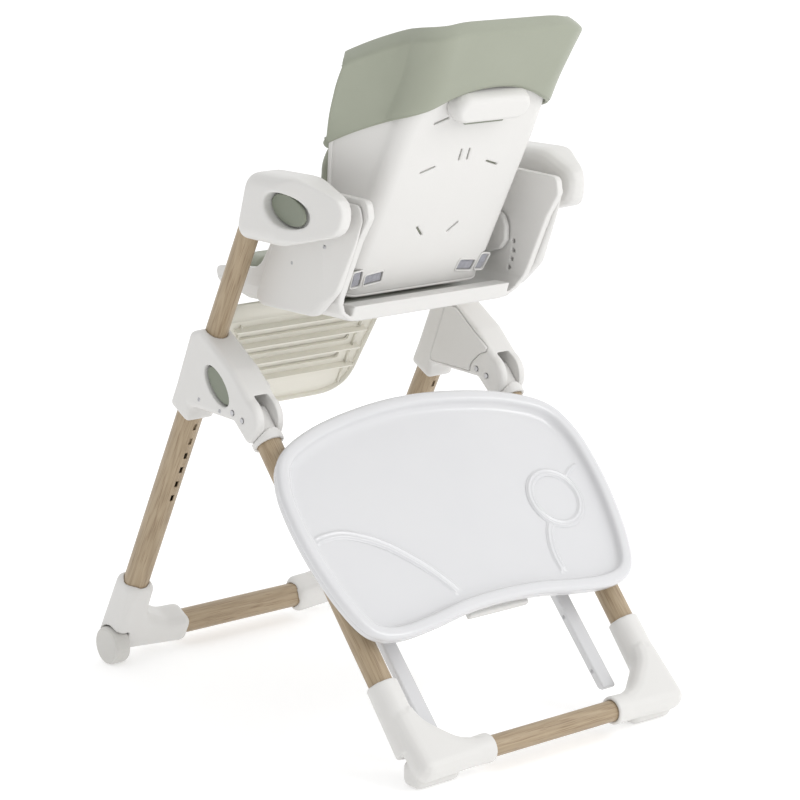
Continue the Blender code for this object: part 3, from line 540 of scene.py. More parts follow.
def eased(stops, v, blur=0.018):
    """A value between stops, averaged over a short run so that no kink shows."""
    places, values = zip(*stops)
    return float(np.mean([np.interp(v + step * blur, places, values) for step in (-1, -0.5, 0, 0.5, 1)]))


def back_point(x, v, lift=0.0):
    return BACK_FOOT + Vector((x, 0, 0)) + BACK_UP * v + BACK_OUT * lift


def section_point(kind, value, v, grow, corner=SHELL_CORNER):
    half = eased(HALF_WIDTHS, v) + grow
    if kind == "wing":
        depth = grow - corner + (corner - grow - eased(WING_REACH, v)) * value
        return back_point(half + eased(WING_SPLAY, v) * value ** 1.3, v, depth)
    if kind == "turn":
        turn = math.radians(value)
        lift = grow - corner + corner * math.sin(turn)
        return back_point(half - corner + corner * math.cos(turn), v, lift)
    return back_point((half - corner) * value, v, grow)


print("the shell is", round(2000 * eased(HALF_WIDTHS, 0.2)), "mm wide at its waist")

# %% [markdown]
# Stacking about ninety sections gives a skin. The upper edge isn't level: it falls along a round
# shoulder towards the wings, so its height depends on how far a station lies from the centre line,
# measured round the shell. Only half of each row is worked out, and the other half is its mirror.

# %% Rows of the shell's skin
def stations(wing_steps, turn_steps, back_steps):
    half = [("wing", 1 - k / wing_steps) for k in range(wing_steps)]
    half += [("turn", 90 * k / turn_steps) for k in range(turn_steps)]
    half += [("back", 1 - k / back_steps) for k in range(back_steps + 1)]
    return half


HALF_RUN, LEVEL_RUN = 0.233, 0.065  # centre line to a wing's edge, and to where the shoulder begins


def run_of(kind, value, corner=SHELL_CORNER):
    """Distance of a station from the centre line, round the shell."""
    flat, bend = 0.148 - corner, corner * math.pi / 2
    if kind == "wing":
        return flat + bend + (HALF_RUN - flat - bend) * value
    return flat + bend * (1 - value / 90) if kind == "turn" else flat * value


def top_of(kind, value, corner=SHELL_CORNER):
    """Height of the upper edge at a station: level behind, then falling along a round shoulder."""
    past = max(0.0, run_of(kind, value, corner) - LEVEL_RUN) / (HALF_RUN - LEVEL_RUN)
    return 0.447 - 0.105 * past ** 2.5


def section_rows(shares, low, high, grow, columns, corner=SHELL_CORNER):
    rows = []
    for share in shares:
        half = []
        for kind, value in columns:
            bottom, top = low(kind, value), high(kind, value)
            half.append(section_point(kind, value, bottom + (top - bottom) * share, grow, corner))
        rows.append(half + mirrored(reversed(half[:-1])))
    return rows


SHELL_COLUMNS = stations(14, 9, 16)
SHELL_ROWS = section_rows([k / 96 for k in range(97)], lambda kind, value: -0.026,
                          lambda kind, value: top_of(kind, value) - 0.014, 0.0, SHELL_COLUMNS)
print("shell grid", len(SHELL_ROWS), "by", len(SHELL_ROWS[0]))

# %% [markdown]
# The harness passes through narrow slots with a small chamfer round each mouth. A cutter with a
# wider collar at the surface cuts slot and chamfer in one go. Each opening is stated by its place on
# the back, its length, its width and its turn.

# %% Cutters for slots and windows
SLOTS = [(0.008, 0.224, 0.022, 0.003, 84), (-0.008, 0.224, 0.022, 0.003, 84)]
for label, sign in SIDES:
    SLOTS += [(sign * 0.033, 0.086, 0.024, 0.0035, sign * 47), (sign * 0.063, 0.202, 0.028, 0.0035, sign * -20),
              (sign * 0.071, 0.291, 0.028, 0.0035, sign * -20)]
WINDOWS = []
for label, sign in SIDES:
    WINDOWS += [(sign * 0.092, 0.005, 0.033, 0.020, sign * -8), (sign * 0.125, 0.007, 0.017, 0.030, sign * -8)]


def pill_outline(long, wide, end, steps=8):
    """A rounded oblong: half circles on a slot, small corners on a window."""
    points = []
    for cx, cy, start in ((1, 1, 0), (-1, 1, 90), (-1, -1, 180), (1, -1, 270)):
        for k in range(steps + 1):
            turn = math.radians(start + 90 * k / steps)
            points.append((cx * (long / 2 - end) + end * math.cos(turn),
                           cy * (wide / 2 - end) + end * math.sin(turn)))
    return points


def back_matrix(x, v, turn):
    """Local X across the back, local Y up it, local Z square to its rear face."""
    across = Vector((1, 0, 0))
    lie = Matrix((across, BACK_UP, across.cross(BACK_UP))).transposed().to_4x4()
    return Matrix.Translation(back_point(x, v)) @ lie @ Matrix.Rotation(math.radians(turn), 4, "Z")


OUT_SIGN = 1 if Vector((1, 0, 0)).cross(BACK_UP).dot(BACK_OUT) > 0 else -1
CHAMFER, CUT_DEPTH, WINDOW_CORNER = 0.0007, 0.02, 0.003


def pill_rows(long, wide, end, matrix, levels):
    """The outline at several levels, each (lift, grow), set on the back."""
    return [[matrix @ Vector((x, y, lift * OUT_SIGN))
             for x, y in pill_outline(long + 2 * grow, wide + 2 * grow, end + grow)] for lift, grow in levels]


def cutter_mesh(name, opening, end):
    x, v, long, wide, turn = opening
    levels = ((-CUT_DEPTH, 0.0), (-CHAMFER, 0.0), (CHAMFER, 2 * CHAMFER), (CUT_DEPTH, 2 * CHAMFER))
    return skin_mesh(name, pill_rows(long, wide, end, back_matrix(x, v, turn), levels), closed=True)


print(len(SLOTS), "slots and", len(WINDOWS), "windows to cut")

# %% [markdown]
# The skin gets its wall with Solidify, and one exact Boolean takes all the cutters out together. That
# is quicker than one Boolean for each, and the wall's two faces stay true to each other.

# %% Wall and slots
SHELL_WALL = 0.0038


def cut(obj, mesh):
    """Takes a closed shape out of a piece."""
    cutter = bpy.data.objects.new("cutter", mesh)
    bpy.context.scene.collection.objects.link(cutter)
    bake(modify(obj, "BOOLEAN", object=cutter, solver="EXACT"))
    bpy.data.objects.remove(cutter)
    return obj


shell = piece("shell_moulding", skin_mesh("shell_moulding", SHELL_ROWS), WHITE, "backrest")
sheet_of(shell, SHELL_WALL, 1, use_even_offset=True)
cutters = [cutter_mesh("slot", opening, opening[3] / 2) for opening in SLOTS]
cutters += [cutter_mesh("window", opening, WINDOW_CORNER) for opening in WINDOWS]
cut(shell, join_meshes("shell_cutters", cutters))
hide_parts("backrest_shell")
print("shell has", len(shell.data.polygons), "faces after its slots")

# %% [markdown]
# A bead runs round the wings' front edge and the bottom, as on any thin moulding that a hand may meet.
# It follows the skin's own border.

# %% Bead round the shell's border
border = [row[0] + BACK_OUT * 0.0015 for row in SHELL_ROWS[:-12]]
beads = [tube_mesh("bead", line, 0.0032) for line in (border, mirrored(border))]
beads.append(tube_mesh("bead", [p + BACK_OUT * -0.0015 for p in SHELL_ROWS[0]], 0.0026))
piece("shell_bead", join_meshes("shell_bead", beads), WHITE, "backrest")
print("shell border beaded")

# %% [markdown]
# ## The hood of the cover
# The padded cover ends in a hood pulled over the shell's top. It is one sheet with a bound hem that
# dips at the wings, and a top panel sewn to it with a few pleats where the fabric is gathered round
# the corner. The same sections as the shell, stood off by the padding, give the sheet, and a few
# more rows roll it over the top towards the child.

# %% The hood's rows
HOOD_STAND, HOOD_WALL = 0.0093, 0.0040
HOOD_STEPS = 60  # rows from the hem to the top seam


def hem_of(kind, value):
    return 0.3545 - 0.150 * (run_of(kind, value, HOOD_CORNER) / 0.235) ** 2.2


def hood_top(kind, value):
    return top_of(kind, value, HOOD_CORNER)


def length_of(line):
    return sum((after - here).length for here, after in zip(line, line[1:]))


hood_rows = section_rows([k / HOOD_STEPS for k in range(HOOD_STEPS + 1)], hem_of, hood_top, HOOD_STAND,
                         stations(18, 10, 20), HOOD_CORNER)
for share in (0.12, 0.28, 0.48, 0.7, 0.88, 1.0):
    roll = math.sin(share * math.pi / 2)
    hood_rows.append([Vector((p.x * (1 - 0.085 * share), p.y, p.z)) + BACK_UP * 0.0050 * roll
                      - BACK_OUT * 0.022 * share for p in hood_rows[HOOD_STEPS]])
for place, line in (("hem", hood_rows[0]), ("top seam", hood_rows[HOOD_STEPS]),
                    ("middle, hem to edge", [row[len(row) // 2] for row in hood_rows]),
                    ("wing, hem to edge", [row[0] for row in hood_rows])):
    print("hood", place, round(length_of(line), 3), "m")

# %% [markdown]
# Gentle folds come from noise that is strong near the gathers and dies out towards the taut middle.
# They are pushed away from the shell's own axis, and the sheet then gets its padded wall.

# %% Folds and padding
def folds(point, share, side_share):
    """How far the sheet stands out: slow swells, and gathers close to the top's corners."""
    slow = noise.noise(point * 9.0) * 0.0011
    gather = math.exp(-((1 - share) / 0.16) ** 2) * math.exp(-((side_share - 0.62) / 0.16) ** 2)
    crease = noise.noise(Vector((point.x * 85, point.z * 12, 4.0))) * 0.0022 * gather
    slack = smooth_step((side_share - 0.62) / 0.3) * noise.noise(point * Vector((26, 26, 13))) * 0.0016
    hem_pull = -0.0008 * math.exp(-(share / 0.04) ** 2)
    return slow + crease + slack + hem_pull


centre = back_point(0, 0.30, -0.12)
for r, row in enumerate(hood_rows):
    share = min(1.0, r / HOOD_STEPS)
    for k, point in enumerate(row):
        side_share = abs(k / (len(row) - 1) * 2 - 1)
        outwards = (point - centre)
        outwards = (outwards - BACK_UP * outwards.dot(BACK_UP) * 0.8).normalized()
        row[k] = point + outwards * folds(point, share, side_share)

hood = piece("hood", skin_mesh("hood", hood_rows), COVER, "backrest")
finer(sheet_of(hood, HOOD_WALL, 1))
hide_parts("head_cover")
print("hood with", len(hood.data.polygons), "faces")

# %% [markdown]
# The hem is bound with a folded strip about 10 mm wide, held by a row of stitches just inside it. The binding is a
# flattened tube along the hem, a touch darker: it wears the darker copy of the leatherette, which is painted
# shade.

# %% Binding, stitches and the top seam
def flattened(path, outs, wide, thick, sides=14):
    """A flat strip with rounded edges, lying along a line with a given outward direction."""
    rows = []
    for k, point in enumerate(path):
        run = run_at(path, k)
        out = (outs[k] - run * outs[k].dot(run)).normalized()
        across = run.cross(out)
        ring = []
        for s in range(sides):
            turn = 2 * math.pi * s / sides
            c, d = math.cos(turn), math.sin(turn)
            ring.append(point + across * wide / 2 * math.copysign(abs(c) ** 0.6, c)
                        + out * thick / 2 * math.copysign(abs(d) ** 0.8, d))
        rows.append(ring)
    return skin_mesh("strip", rows, closed=True)


def outward_of(row):
    """The direction away from the shell's axis, at each point of a row."""
    outs = [run_at(row, k).cross(BACK_UP).normalized() for k in range(len(row))]
    return [out if out.dot(point - centre) > 0 else -out for point, out in zip(row, outs)]


def line_off(row, outs, out, up):
    """A row moved outwards and up the back."""
    return [p + o * out + BACK_UP * up for p, o in zip(row, outs)]


hem, seam = hood_rows[1], hood_rows[HOOD_STEPS - 1]
hem_out, seam_out = outward_of(hem), outward_of(seam)
binding = flattened(line_off(hem, hem_out, 0, -0.0005), hem_out, 0.0105, 0.0056)
piece("hood_binding", binding, SHADED_SAGE, "backrest")
hem_stitches = stitch_mesh("hood_stitches", line_off(hem, hem_out, 0.0028, 0.0027), 0.0040, 0.0029, 0.00042)
piece("hood_stitches", hem_stitches, THREAD, "backrest")
# The top seam's piping wears the darker copy of the leatherette: painted shade along the seam.
piping = tube_mesh("hood_top_seam", line_off(seam, seam_out, 0.0006, 0.001), 0.0016, 10)
piece("hood_top_seam", piping, SHADED_SAGE, "backrest")
seam_stitches = stitch_mesh("seam_stitches", line_off(seam, seam_out, 0.0012, -0.0042), 0.0042, 0.0030, 0.0004)
piece("hood_seam_stitches", seam_stitches, THREAD, "backrest")
print("hem bound and stitched")

# %% [markdown]
# ## The recline pull
# Parents tilt the seat back with one hand under this scoop. It is a shallow dome with pill-shaped ends
# and an open mouth below, where the sage lever waits for the fingers. A grid of points over the pill
# outline, raised by a rounded profile, gives the dome, and a rounded cutter scoops the mouth.

# %% A scooped pull with round ends
PULL_LONG, PULL_TALL, PULL_PROUD, PULL_V = 0.146, 0.0495, 0.0275, 0.3208


def pull_rows(levels=14):
    rows = []
    for k in range(levels + 1):
        turn = k / levels * math.pi / 2
        lift = PULL_PROUD * math.sin(turn) ** 0.85
        shrink = 0.0125 * (1 - math.cos(turn)) ** 1.2
        outline = pill_outline(PULL_LONG - 2 * shrink, PULL_TALL - 2 * shrink,
                               PULL_TALL / 2 - shrink - 0.0004, 14)
        taper = [(x * (1 - 0.04 * (y < 0) * (-y / 0.025)), y) for x, y in outline]
        rows.append([back_point(x, PULL_V + y, 0.0004 + lift) for x, y in taper])
    return rows


pull = piece("recline_pull", skin_mesh("recline_pull", pull_rows(), closed=True), WHITE, "backrest")
scoop_rows = []
for lift, grow in ((0.0022, 0.0), (0.008, 0.0), (0.016, -0.001), (0.021, -0.004), (0.0235, -0.010)):
    outline = pill_outline(0.104 + 2 * grow, 0.056 + 2 * grow, 0.022 + grow, 12)
    scoop_rows.append([back_point(x, PULL_V - 0.0125 + y, lift) for x, y in outline])
cut(pull, skin_mesh("scoop", scoop_rows, closed=True))
modify(pull, "REMESH", mode="VOXEL", voxel_size=0.0009)
bake(modify(pull, "SMOOTH", iterations=6))
smooth_shaded(pull)
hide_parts("recline_handle")
print("pull has", len(pull.data.polygons), "faces")

# %% [markdown]
# ## The tray and its lift-out liner
# The tray is a bean-shaped plate: a wide bowed edge away from the child and a cut-out for the belly.
# The liner's rim rolls over the tray's edge, steps down in a soft cove to a sunken floor, and carries
# low ridges that part the floor into a big field, a corner bay and a cup place. Rings inset from the
# outline, each at its own height, make rim, cove and floor in one skin.

# %% The tray's outline and its rings
TRAY_MOUTH = Vector((0, SHIFT_Y + 0.2025, 0.2197))
HALF_KNOTS = [(0.075, 0.0565), (0.140, 0.0465), (0.212, 0.0410), (0.262, 0.0580), (0.288, 0.112),
              (0.303, 0.190), (0.306, 0.262), (0.298, 0.322), (0.268, 0.374), (0.190, 0.408), (0.090, 0.427)]


def smooth_line(knots, steps, closed=False):
    """A smooth line through its knots, made of Catmull-Rom spans."""
    knots = [Vector(knot) for knot in knots]
    if closed:
        ends = knots[-1:] + knots + knots[:2]
    else:
        ends = [knots[0] * 2 - knots[1]] + knots + [knots[-1] * 2 - knots[-2]]
    points = []
    for a, b, c, d in zip(ends, ends[1:], ends[2:], ends[3:]):
        for t in (k / steps for k in range(steps)):
            points.append(0.5 * (2 * b + (c - a) * t + (2 * a - 5 * b + 4 * c - d) * t ** 2
                                 + (3 * b - a - 3 * c + d) * t ** 3))
    return points if closed else points + knots[-1:]


def relaxed(points, passes):
    """The closed line with its small bumps eased out."""
    for step in range(passes):
        after = points[1:] + points[:1]
        points = [(points[k - 1] + points[k] * 2 + after[k]) / 4 for k in range(len(points))]
    return points


BELLY_EDGE, FAR_EDGE = 0.060, 0.433
KNOTS = [(0, BELLY_EDGE)] + HALF_KNOTS + [(0, FAR_EDGE)] + [(-x, s) for x, s in reversed(HALF_KNOTS)]
OUTLINE = relaxed(smooth_line([(x, s - BELLY_EDGE) for x, s in KNOTS], 12, closed=True), 6)


def inset_ring(distance):
    moved = []
    for i, here in enumerate(OUTLINE):
        run = (OUTLINE[(i + 2) % len(OUTLINE)] - OUTLINE[i - 2]).normalized()
        moved.append(here + Vector((-run.y, run.x)) * distance)
    return relaxed(moved, 2 + int(distance * 200))


def tray_point(x, s, lift=0.0):
    return TRAY_MOUTH + Vector((x, 0, 0)) + TRAY_UP * s + TRAY_OUT * lift


def tray_ring(distance, lift):
    return [tray_point(p.x, p.y, lift) for p in inset_ring(distance)]


print("tray outline", len(OUTLINE), "points")

# %% [markdown]
# The profile is a short list of (inset, height) steps across the rim. Read in order it climbs the
# outside, rolls over the top and drops through the cove, and the last rings shrink towards a point in
# the middle of the floor. A lathe can't do this, because the tray isn't round.

# %% Liner: rolled rim, cove and floor
FLOOR_LIFT = -0.0150
FLOOR_INSET, FLOOR_MIDDLE = 0.038, 0.185
LINER_PROFILE = [(0.0030, -0.0120), (0.0006, -0.0118), (0.0, -0.0108), (0.0, -0.0070), (0.0004, -0.0048),
                 (0.0014, -0.0028), (0.0030, -0.0012), (0.0050, -0.0003), (0.0075, 0.0), (0.0130, -0.0001),
                 (0.0165, -0.0006), (0.0185, -0.0016), (0.0200, -0.0034), (0.0212, -0.0060), (0.0224, -0.0086),
                 (0.0240, -0.0108), (0.0262, -0.0126), (0.0292, -0.0139), (0.0330, -0.0147),
                 (FLOOR_INSET, FLOOR_LIFT)]
inner_ring = inset_ring(FLOOR_INSET)


def closing_rows(shares, lift, sag=0.0):
    """Rings that shrink from the inner ring to a short line in the middle."""
    return [[tray_point(p.x * (1 - 0.45 * share), p.y * (1 - share) + FLOOR_MIDDLE * share, lift - sag * share)
             for p in inner_ring] for share in shares]


liner_rows = [tray_ring(distance, lift) for distance, lift in LINER_PROFILE]
liner_rows += closing_rows((0.06, 0.14, 0.24, 0.36, 0.50, 0.64, 0.78, 0.90, 0.985), FLOOR_LIFT, 0.0006)
liner_mesh = skin_mesh("tray_liner", liner_rows, closed=True, caps=(False, True))
liner = sheet_of(piece("tray_liner", liner_mesh, TRAY, "tray_insert"), 0.0024, -1)
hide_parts("tray_insert")
print("liner floor lies", round(-FLOOR_LIFT * 1000, 1), "mm under its rim")

# %% [markdown]
# The ridges are swells in the floor, with no edge of their own. Each is a strip whose section rises
# and falls as a cosine, so it meets the floor level and its highlights run out softly.

# %% Ridges that part the floor
def swell_mesh(path, wide, tall, closed=False, steps=12, double=False):
    """A swell along a line on the floor. A double one has a shallow groove along its top."""
    rows = []
    for k, point in enumerate(path):
        run = run_at(path, k, closed)
        across = Vector((-run.y, run.x))
        end = 1.0 if closed else smooth_step(min(k, len(path) - 1 - k) / 4)
        row = []
        for s in range(steps + 1):
            u = s / steps * 2 - 1
            height = 0.5 * (1 + math.cos(math.pi * u))
            if double:
                height = min(1.0, height * 2.2) - 0.45 * math.exp(-(u / 0.28) ** 2)
            at = Vector(point) + across * u * wide / 2
            row.append(tray_point(at.x, at.y, FLOOR_LIFT + 0.00012 + height * tall * end))
        rows.append(row)
    if closed:
        rows.append(rows[0])
    return skin_mesh("swell", rows)


def circle(centre, radius, count):
    turns = [2 * math.pi * k / count for k in range(count)]
    return [Vector(centre) + Vector((math.cos(t), math.sin(t))) * radius for t in turns]


cup_ring = circle((-0.199, 0.151), 0.047, 96)
corner_arc = smooth_line([(0.276, 0.166), (0.252, 0.170), (0.222, 0.169), (0.188, 0.156), (0.155, 0.136),
                          (0.128, 0.112), (0.104, 0.087), (0.084, 0.060), (0.066, 0.032)], 10)
belly_ridge = smooth_line([(-0.166, 0.112), (-0.154, 0.096), (-0.145, 0.075), (-0.141, 0.052),
                           (-0.142, 0.022)], 10)
side_ridge = smooth_line([(-0.238, 0.182), (-0.256, 0.194), (-0.276, 0.201)], 10)
ridges = [swell_mesh(cup_ring, 0.0150, 0.0026, closed=True, double=True),
          swell_mesh(corner_arc, 0.0170, 0.0024, double=True),
          swell_mesh(belly_ridge, 0.0150, 0.0024, double=True), swell_mesh(side_ridge, 0.0090, 0.0020)]
for dot in ((-0.262, 0.052), (-0.268, 0.300), (0.262, 0.292), (0.255, 0.040)):
    ridges.append(swell_mesh(circle(dot, 0.0045, 32), 0.0022, 0.0004, closed=True, steps=6))
piece("tray_ridges", join_meshes("tray_ridges", ridges), TRAY, "tray_insert")
print("ridges", len(ridges), "on the liner's floor")

# %% [markdown]
# Under the liner the tray's own body shows as a second, slightly smaller lip with a fine shadow gap.
# It is hollow below, and its belly edge carries the release lever.

# %% Tray body under the liner
BODY_PROFILE = [(0.0240, -0.0196), (0.0150, -0.0180), (0.0090, -0.0142), (0.0058, -0.0131), (0.0040, -0.0128),
                (0.0029, -0.0134), (0.0024, -0.0150), (0.0024, -0.0195), (0.0030, -0.0222), (0.0046, -0.0245),
                (0.0072, -0.0258), (0.0110, -0.0262), (0.0140, -0.0258), (0.0160, -0.0240), (0.0170, -0.0236)]
body_rows = [tray_ring(distance, lift) for distance, lift in BODY_PROFILE]
body_rows += closing_rows((0.0, 0.3, 0.62, 0.985), BODY_PROFILE[-1][1])
body = piece("tray_body", skin_mesh("tray_body", body_rows, closed=True, caps=(False, True)), TRAY, "tray")
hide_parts("tray_base")
print("tray body made")

# %% [markdown]
# ## Soft goods, blown up by cloth simulation
# A padded cover takes its shape from the pressure inside it and the cloth that holds it back. Starting
# from a closed form a little smaller than the cushion, an even mesh is made with a voxel remesh, Cloth
# with pressure and no gravity swells it over twenty frames, and no point may move further than a cap.
# One subdivision then smooths it.

# %% Swell a closed form
PRESSURE, CLOTH_FRAMES = 4.0, 20


def set_points(obj, points):
    obj.data.vertices.foreach_set("co", np.array(points, np.float32).ravel())
    obj.data.update()


def even_form(name, source, voxel, passes):
    """A working solid's shape as an evenly meshed object, with its edges eased."""
    bm = bmesh.new()
    bm.from_mesh(NODES[source].data)
    bmesh.ops.remove_doubles(bm, verts=bm.verts, dist=1e-5)
    obj = bpy.data.objects.new(name, mesh_from(name, bm))
    bpy.context.scene.collection.objects.link(obj)
    modify(obj, "REMESH", mode="VOXEL", voxel_size=voxel)
    return bake(modify(obj, "SMOOTH", iterations=passes))


def blown_up(obj, start, cap):
    """Where the cloth's points lie after the run, none of them moved further than the cap."""
    cloth = obj.modifiers.new("cloth", "CLOTH")
    cloth.settings.use_pressure = True
    cloth.settings.uniform_pressure_force = PRESSURE
    cloth.settings.effector_weights.gravity = 0
    cloth.settings.quality = 5
    for frame_number in range(1, CLOTH_FRAMES + 1):
        bpy.context.scene.frame_set(frame_number)
    swollen = obj.evaluated_get(bpy.context.evaluated_depsgraph_get())
    move = np.array([v.co for v in swollen.to_mesh().vertices]) - start
    swollen.to_mesh_clear()
    obj.modifiers.clear()
    bpy.context.scene.frame_set(1)
    far = np.linalg.norm(move, axis=1, keepdims=True)
    return start + move * np.minimum(1.0, cap / np.maximum(far, 1e-9))


def swell(name, source, body, shrink, cap, voxel=0.005, passes=6):
    """A cushion that starts from a working solid's shape and swells under pressure."""
    obj = even_form(name, source, voxel, passes)
    start = np.array([v.co - v.normal * shrink for v in obj.data.vertices])
    set_points(obj, start)
    set_points(obj, blown_up(obj, start, cap))
    mesh = finer(obj).data
    bpy.data.objects.remove(obj)
    cushion = piece(name, mesh, COVER, body)
    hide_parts(source)
    return cushion


print("cushions will be", "simulated")

# %% [markdown]
# Sewing holds a cushion down along its seams. Pressing each point inwards by a depth that depends on
# where it lies gives the channels, and whatever stands past a hard backing is laid flat on it.

# %% Press seams in, and lay a cushion on a hard face
def rest_on(obj, origin, outwards, height):
    """Flattens what stands past a plane, where the cushion lies on something hard."""
    for vertex in obj.data.vertices:
        past = (vertex.co - origin).dot(outwards) - height
        if past > 0:
            vertex.co -= outwards * past
    obj.data.update()


def press(obj, depth_of):
    """Moves each point of a cushion inwards by a depth that depends on where it lies."""
    before = [(vertex.co.copy(), vertex.normal.copy()) for vertex in obj.data.vertices]
    set_points(obj, [point - normal * depth_of(point, normal) for point, normal in before])


def groove(distance, width):
    return math.exp(-(distance / width) ** 2)


print("a seam is", round(groove(0, 1) - groove(1, 1), 2), "of its depth shallower one width away")

# %% [markdown]
# The backrest liner lies inside the wings. Its back is flat against the shell, and its front is sewn
# in three channels with a shallow seam between them.

# %% Backrest liner
liner_pad = swell("back_liner", "back_pad", "backrest", shrink=0.002, cap=0.006)


def back_coordinates(point):
    arm = Vector(point) - BACK_FOOT
    return arm.x, arm.dot(BACK_UP), arm.dot(BACK_OUT)


def liner_seams(point, normal):
    x, v, lift = back_coordinates(point)
    front = smooth_step(-normal.dot(BACK_OUT) * 1.6)
    channel = max(groove(abs(x) - 0.045, 0.0028), groove(v - 0.30, 0.0028) * (abs(x) < 0.108))
    wrinkle = noise.noise(Vector(point) * 42) * 0.0009
    return front * (channel * 0.0042 - 0.0022 * (1 - channel) * math.cos(x * 33)) + wrinkle


press(liner_pad, liner_seams)
rest_on(liner_pad, BACK_FOOT, BACK_OUT, -SHELL_WALL - 0.0006)
print("liner has", len(liner_pad.data.polygons), "faces")

# %% [markdown]
# On each wing the cover is folded round the rim of the shell as a thick, slack roll. It is a tube
# along the rim, crumpled by noise, because the padding bunches where the wing is short.

# %% Rolls over the wings' rims
ROLL_RADIUS, ROLL_LOW, ROLL_LONG, ROLL_STEPS = 0.0118, 0.050, 0.160, 45


def roll_radius(k):
    """Full along the rim, rounded at the lower end and run out over the last five steps."""
    if k < 40:
        return ROLL_RADIUS * math.sin(math.pi * min(1.0, 0.06 + k / 40)) ** 0.35
    return ROLL_RADIUS * (1 - (k - 40) / 6)


def wing_roll(label, sign):
    path, rows = [], []
    for k in range(ROLL_STEPS):
        at = section_point("wing", 0.97, ROLL_LOW + ROLL_LONG * k / (ROLL_STEPS - 1), 0.0)
        path.append(Vector(((at.x - 0.004) * sign, at.y, at.z)) - BACK_OUT * 0.0095)
    for k, (point, across, up) in enumerate(ring_frames(path)):
        ring = []
        for s in range(20):
            turn = 2 * math.pi * s / 20
            way = across * math.cos(turn) + up * math.sin(turn)
            crumple = (1 + 0.22 * noise.noise(point * 38 + way * 0.7)
                       + 0.10 * noise.noise(point * 95 + way * 2.0))
            ring.append(point + way * max(0.002, roll_radius(k)) * crumple)
        rows.append(ring)
    # The roll wears the darker copy of the leatherette: painted shade on the rolled rim.
    roll = finer(piece(f"wing_roll_{label}", skin_mesh("roll", rows, closed=True), SHADED_SAGE, "backrest"))
    print(roll.name, "is", round(length_of(path), 3), "m long")


print("a roll is", round(2000 * roll_radius(20), 1), "mm thick halfway along")

# %% [markdown]
# The padded cover on the inside of a wing reaches from the back liner out to the roll. It bulges in
# the middle, where nothing holds it down, so it is the shell's own wing section moved inwards by a
# half wave and given a wall.

# %% Padded linings inside the wings
def wing_lining(label, sign):
    rows = []
    for k in range(40):
        v = 0.03 + 0.330 * k / 39
        row = []
        for s in range(14):
            share = 0.06 + 0.92 * s / 13
            at = section_point("wing", share, v, 0.0)
            inward = 0.0065 + 0.0075 * math.sin(math.pi * share) + 0.0012 * noise.noise(at * 30)
            row.append(Vector(((at.x - inward) * sign, at.y, at.z)))
        rows.append(row)
    lining = piece(f"wing_lining_{label}", skin_mesh("lining", rows), COVER, "backrest")
    sheet_of(lining, 0.005, 0)


for label, sign in SIDES:
    wing_roll(label, sign)
    wing_lining(label, sign)
print("wing rolls and linings made")

# %% [markdown]
# The seat cushion fills the tub and rolls over its front edge. Two sewn channels run from side to
# side and a piped seam follows its rim. The crotch post is a small firm pad.

# %% Seat cushion and crotch post
seat_cushion = swell("seat_cushion", "seat_pad", "seat", shrink=0.002, cap=0.005)
seat_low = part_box("seat_pad")[0]


def seat_seams(point, normal):
    top = smooth_step(normal.z * 1.5)
    across = max(groove(point.y - y, 0.003) for y in (seat_low.y + 0.095, seat_low.y + 0.160))
    middle_seam = groove(point.x, 0.003) * (point.y > seat_low.y + 0.160)
    return top * 0.0045 * max(across, middle_seam) + noise.noise(point * 36) * 0.0007


press(seat_cushion, seat_seams)
post = swell("crotch_cushion", "crotch_post", "seat", shrink=0.0015, voxel=0.004, cap=0.004, passes=4)
press(post, lambda point, normal: 0.0016 * groove(point.x, 0.002) * smooth_step(abs(normal.y) * 1.4))
print("seat cushion", len(seat_cushion.data.polygons), "faces")

# %% [markdown]
# The calf rest's pad is a thin cushion with three sewn bars, buttoned to the front of its panel.

# %% Calf rest pad
calf_cushion = swell("calf_cushion", "calf_pad", "calf_rest", shrink=0.002, cap=0.005, passes=4)
CALF_LEAN = math.radians(30.5)
CALF_DOWN = Vector((0, -math.sin(CALF_LEAN), -math.cos(CALF_LEAN)))
CALF_REAR = Vector((0, -CALF_DOWN.z, CALF_DOWN.y))


def calf_seams(point, normal):
    down = (Vector(point) - CALF_PIVOT).dot(CALF_DOWN)
    front = smooth_step(-normal.dot(CALF_REAR) * 1.5)
    return front * 0.004 * max(groove(down - at, 0.003) for at in (0.135, 0.195, 0.240))


press(calf_cushion, calf_seams)
rest_on(calf_cushion, CALF_PIVOT, CALF_REAR, -0.0050)
print("calf pad", len(calf_cushion.data.polygons), "faces")

# %% [markdown]
# ## The calf rest's moulding
# Seen from behind, the calf panel is a shallow dish: a flange runs round its edge, upright ribs stand
# near its sides, and a plain ivory backing closes the pad's underside behind the three openings.

# %% Flange, upright ribs and backing
def calf_point(x, down, rear):
    return CALF_PIVOT + Vector((x, 0, 0)) + CALF_DOWN * down + CALF_REAR * rear


def slab(low, high, point_at, round_by=0.0006):
    """A thin rounded block between two corners of a slanted frame."""
    rows = []
    for share, shrink in ((0.0, round_by), (0.3, 0.0), (0.7, 0.0), (1.0, round_by)):
        depth = low[2] + (high[2] - low[2]) * share
        x0, x1, d0, d1 = low[0] + shrink, high[0] - shrink, low[1] + shrink, high[1] - shrink
        rows.append([point_at(x, down, depth) for x, down in ((x0, d0), (x1, d0), (x1, d1), (x0, d1))])
    return skin_mesh("slab", rows, closed=True)


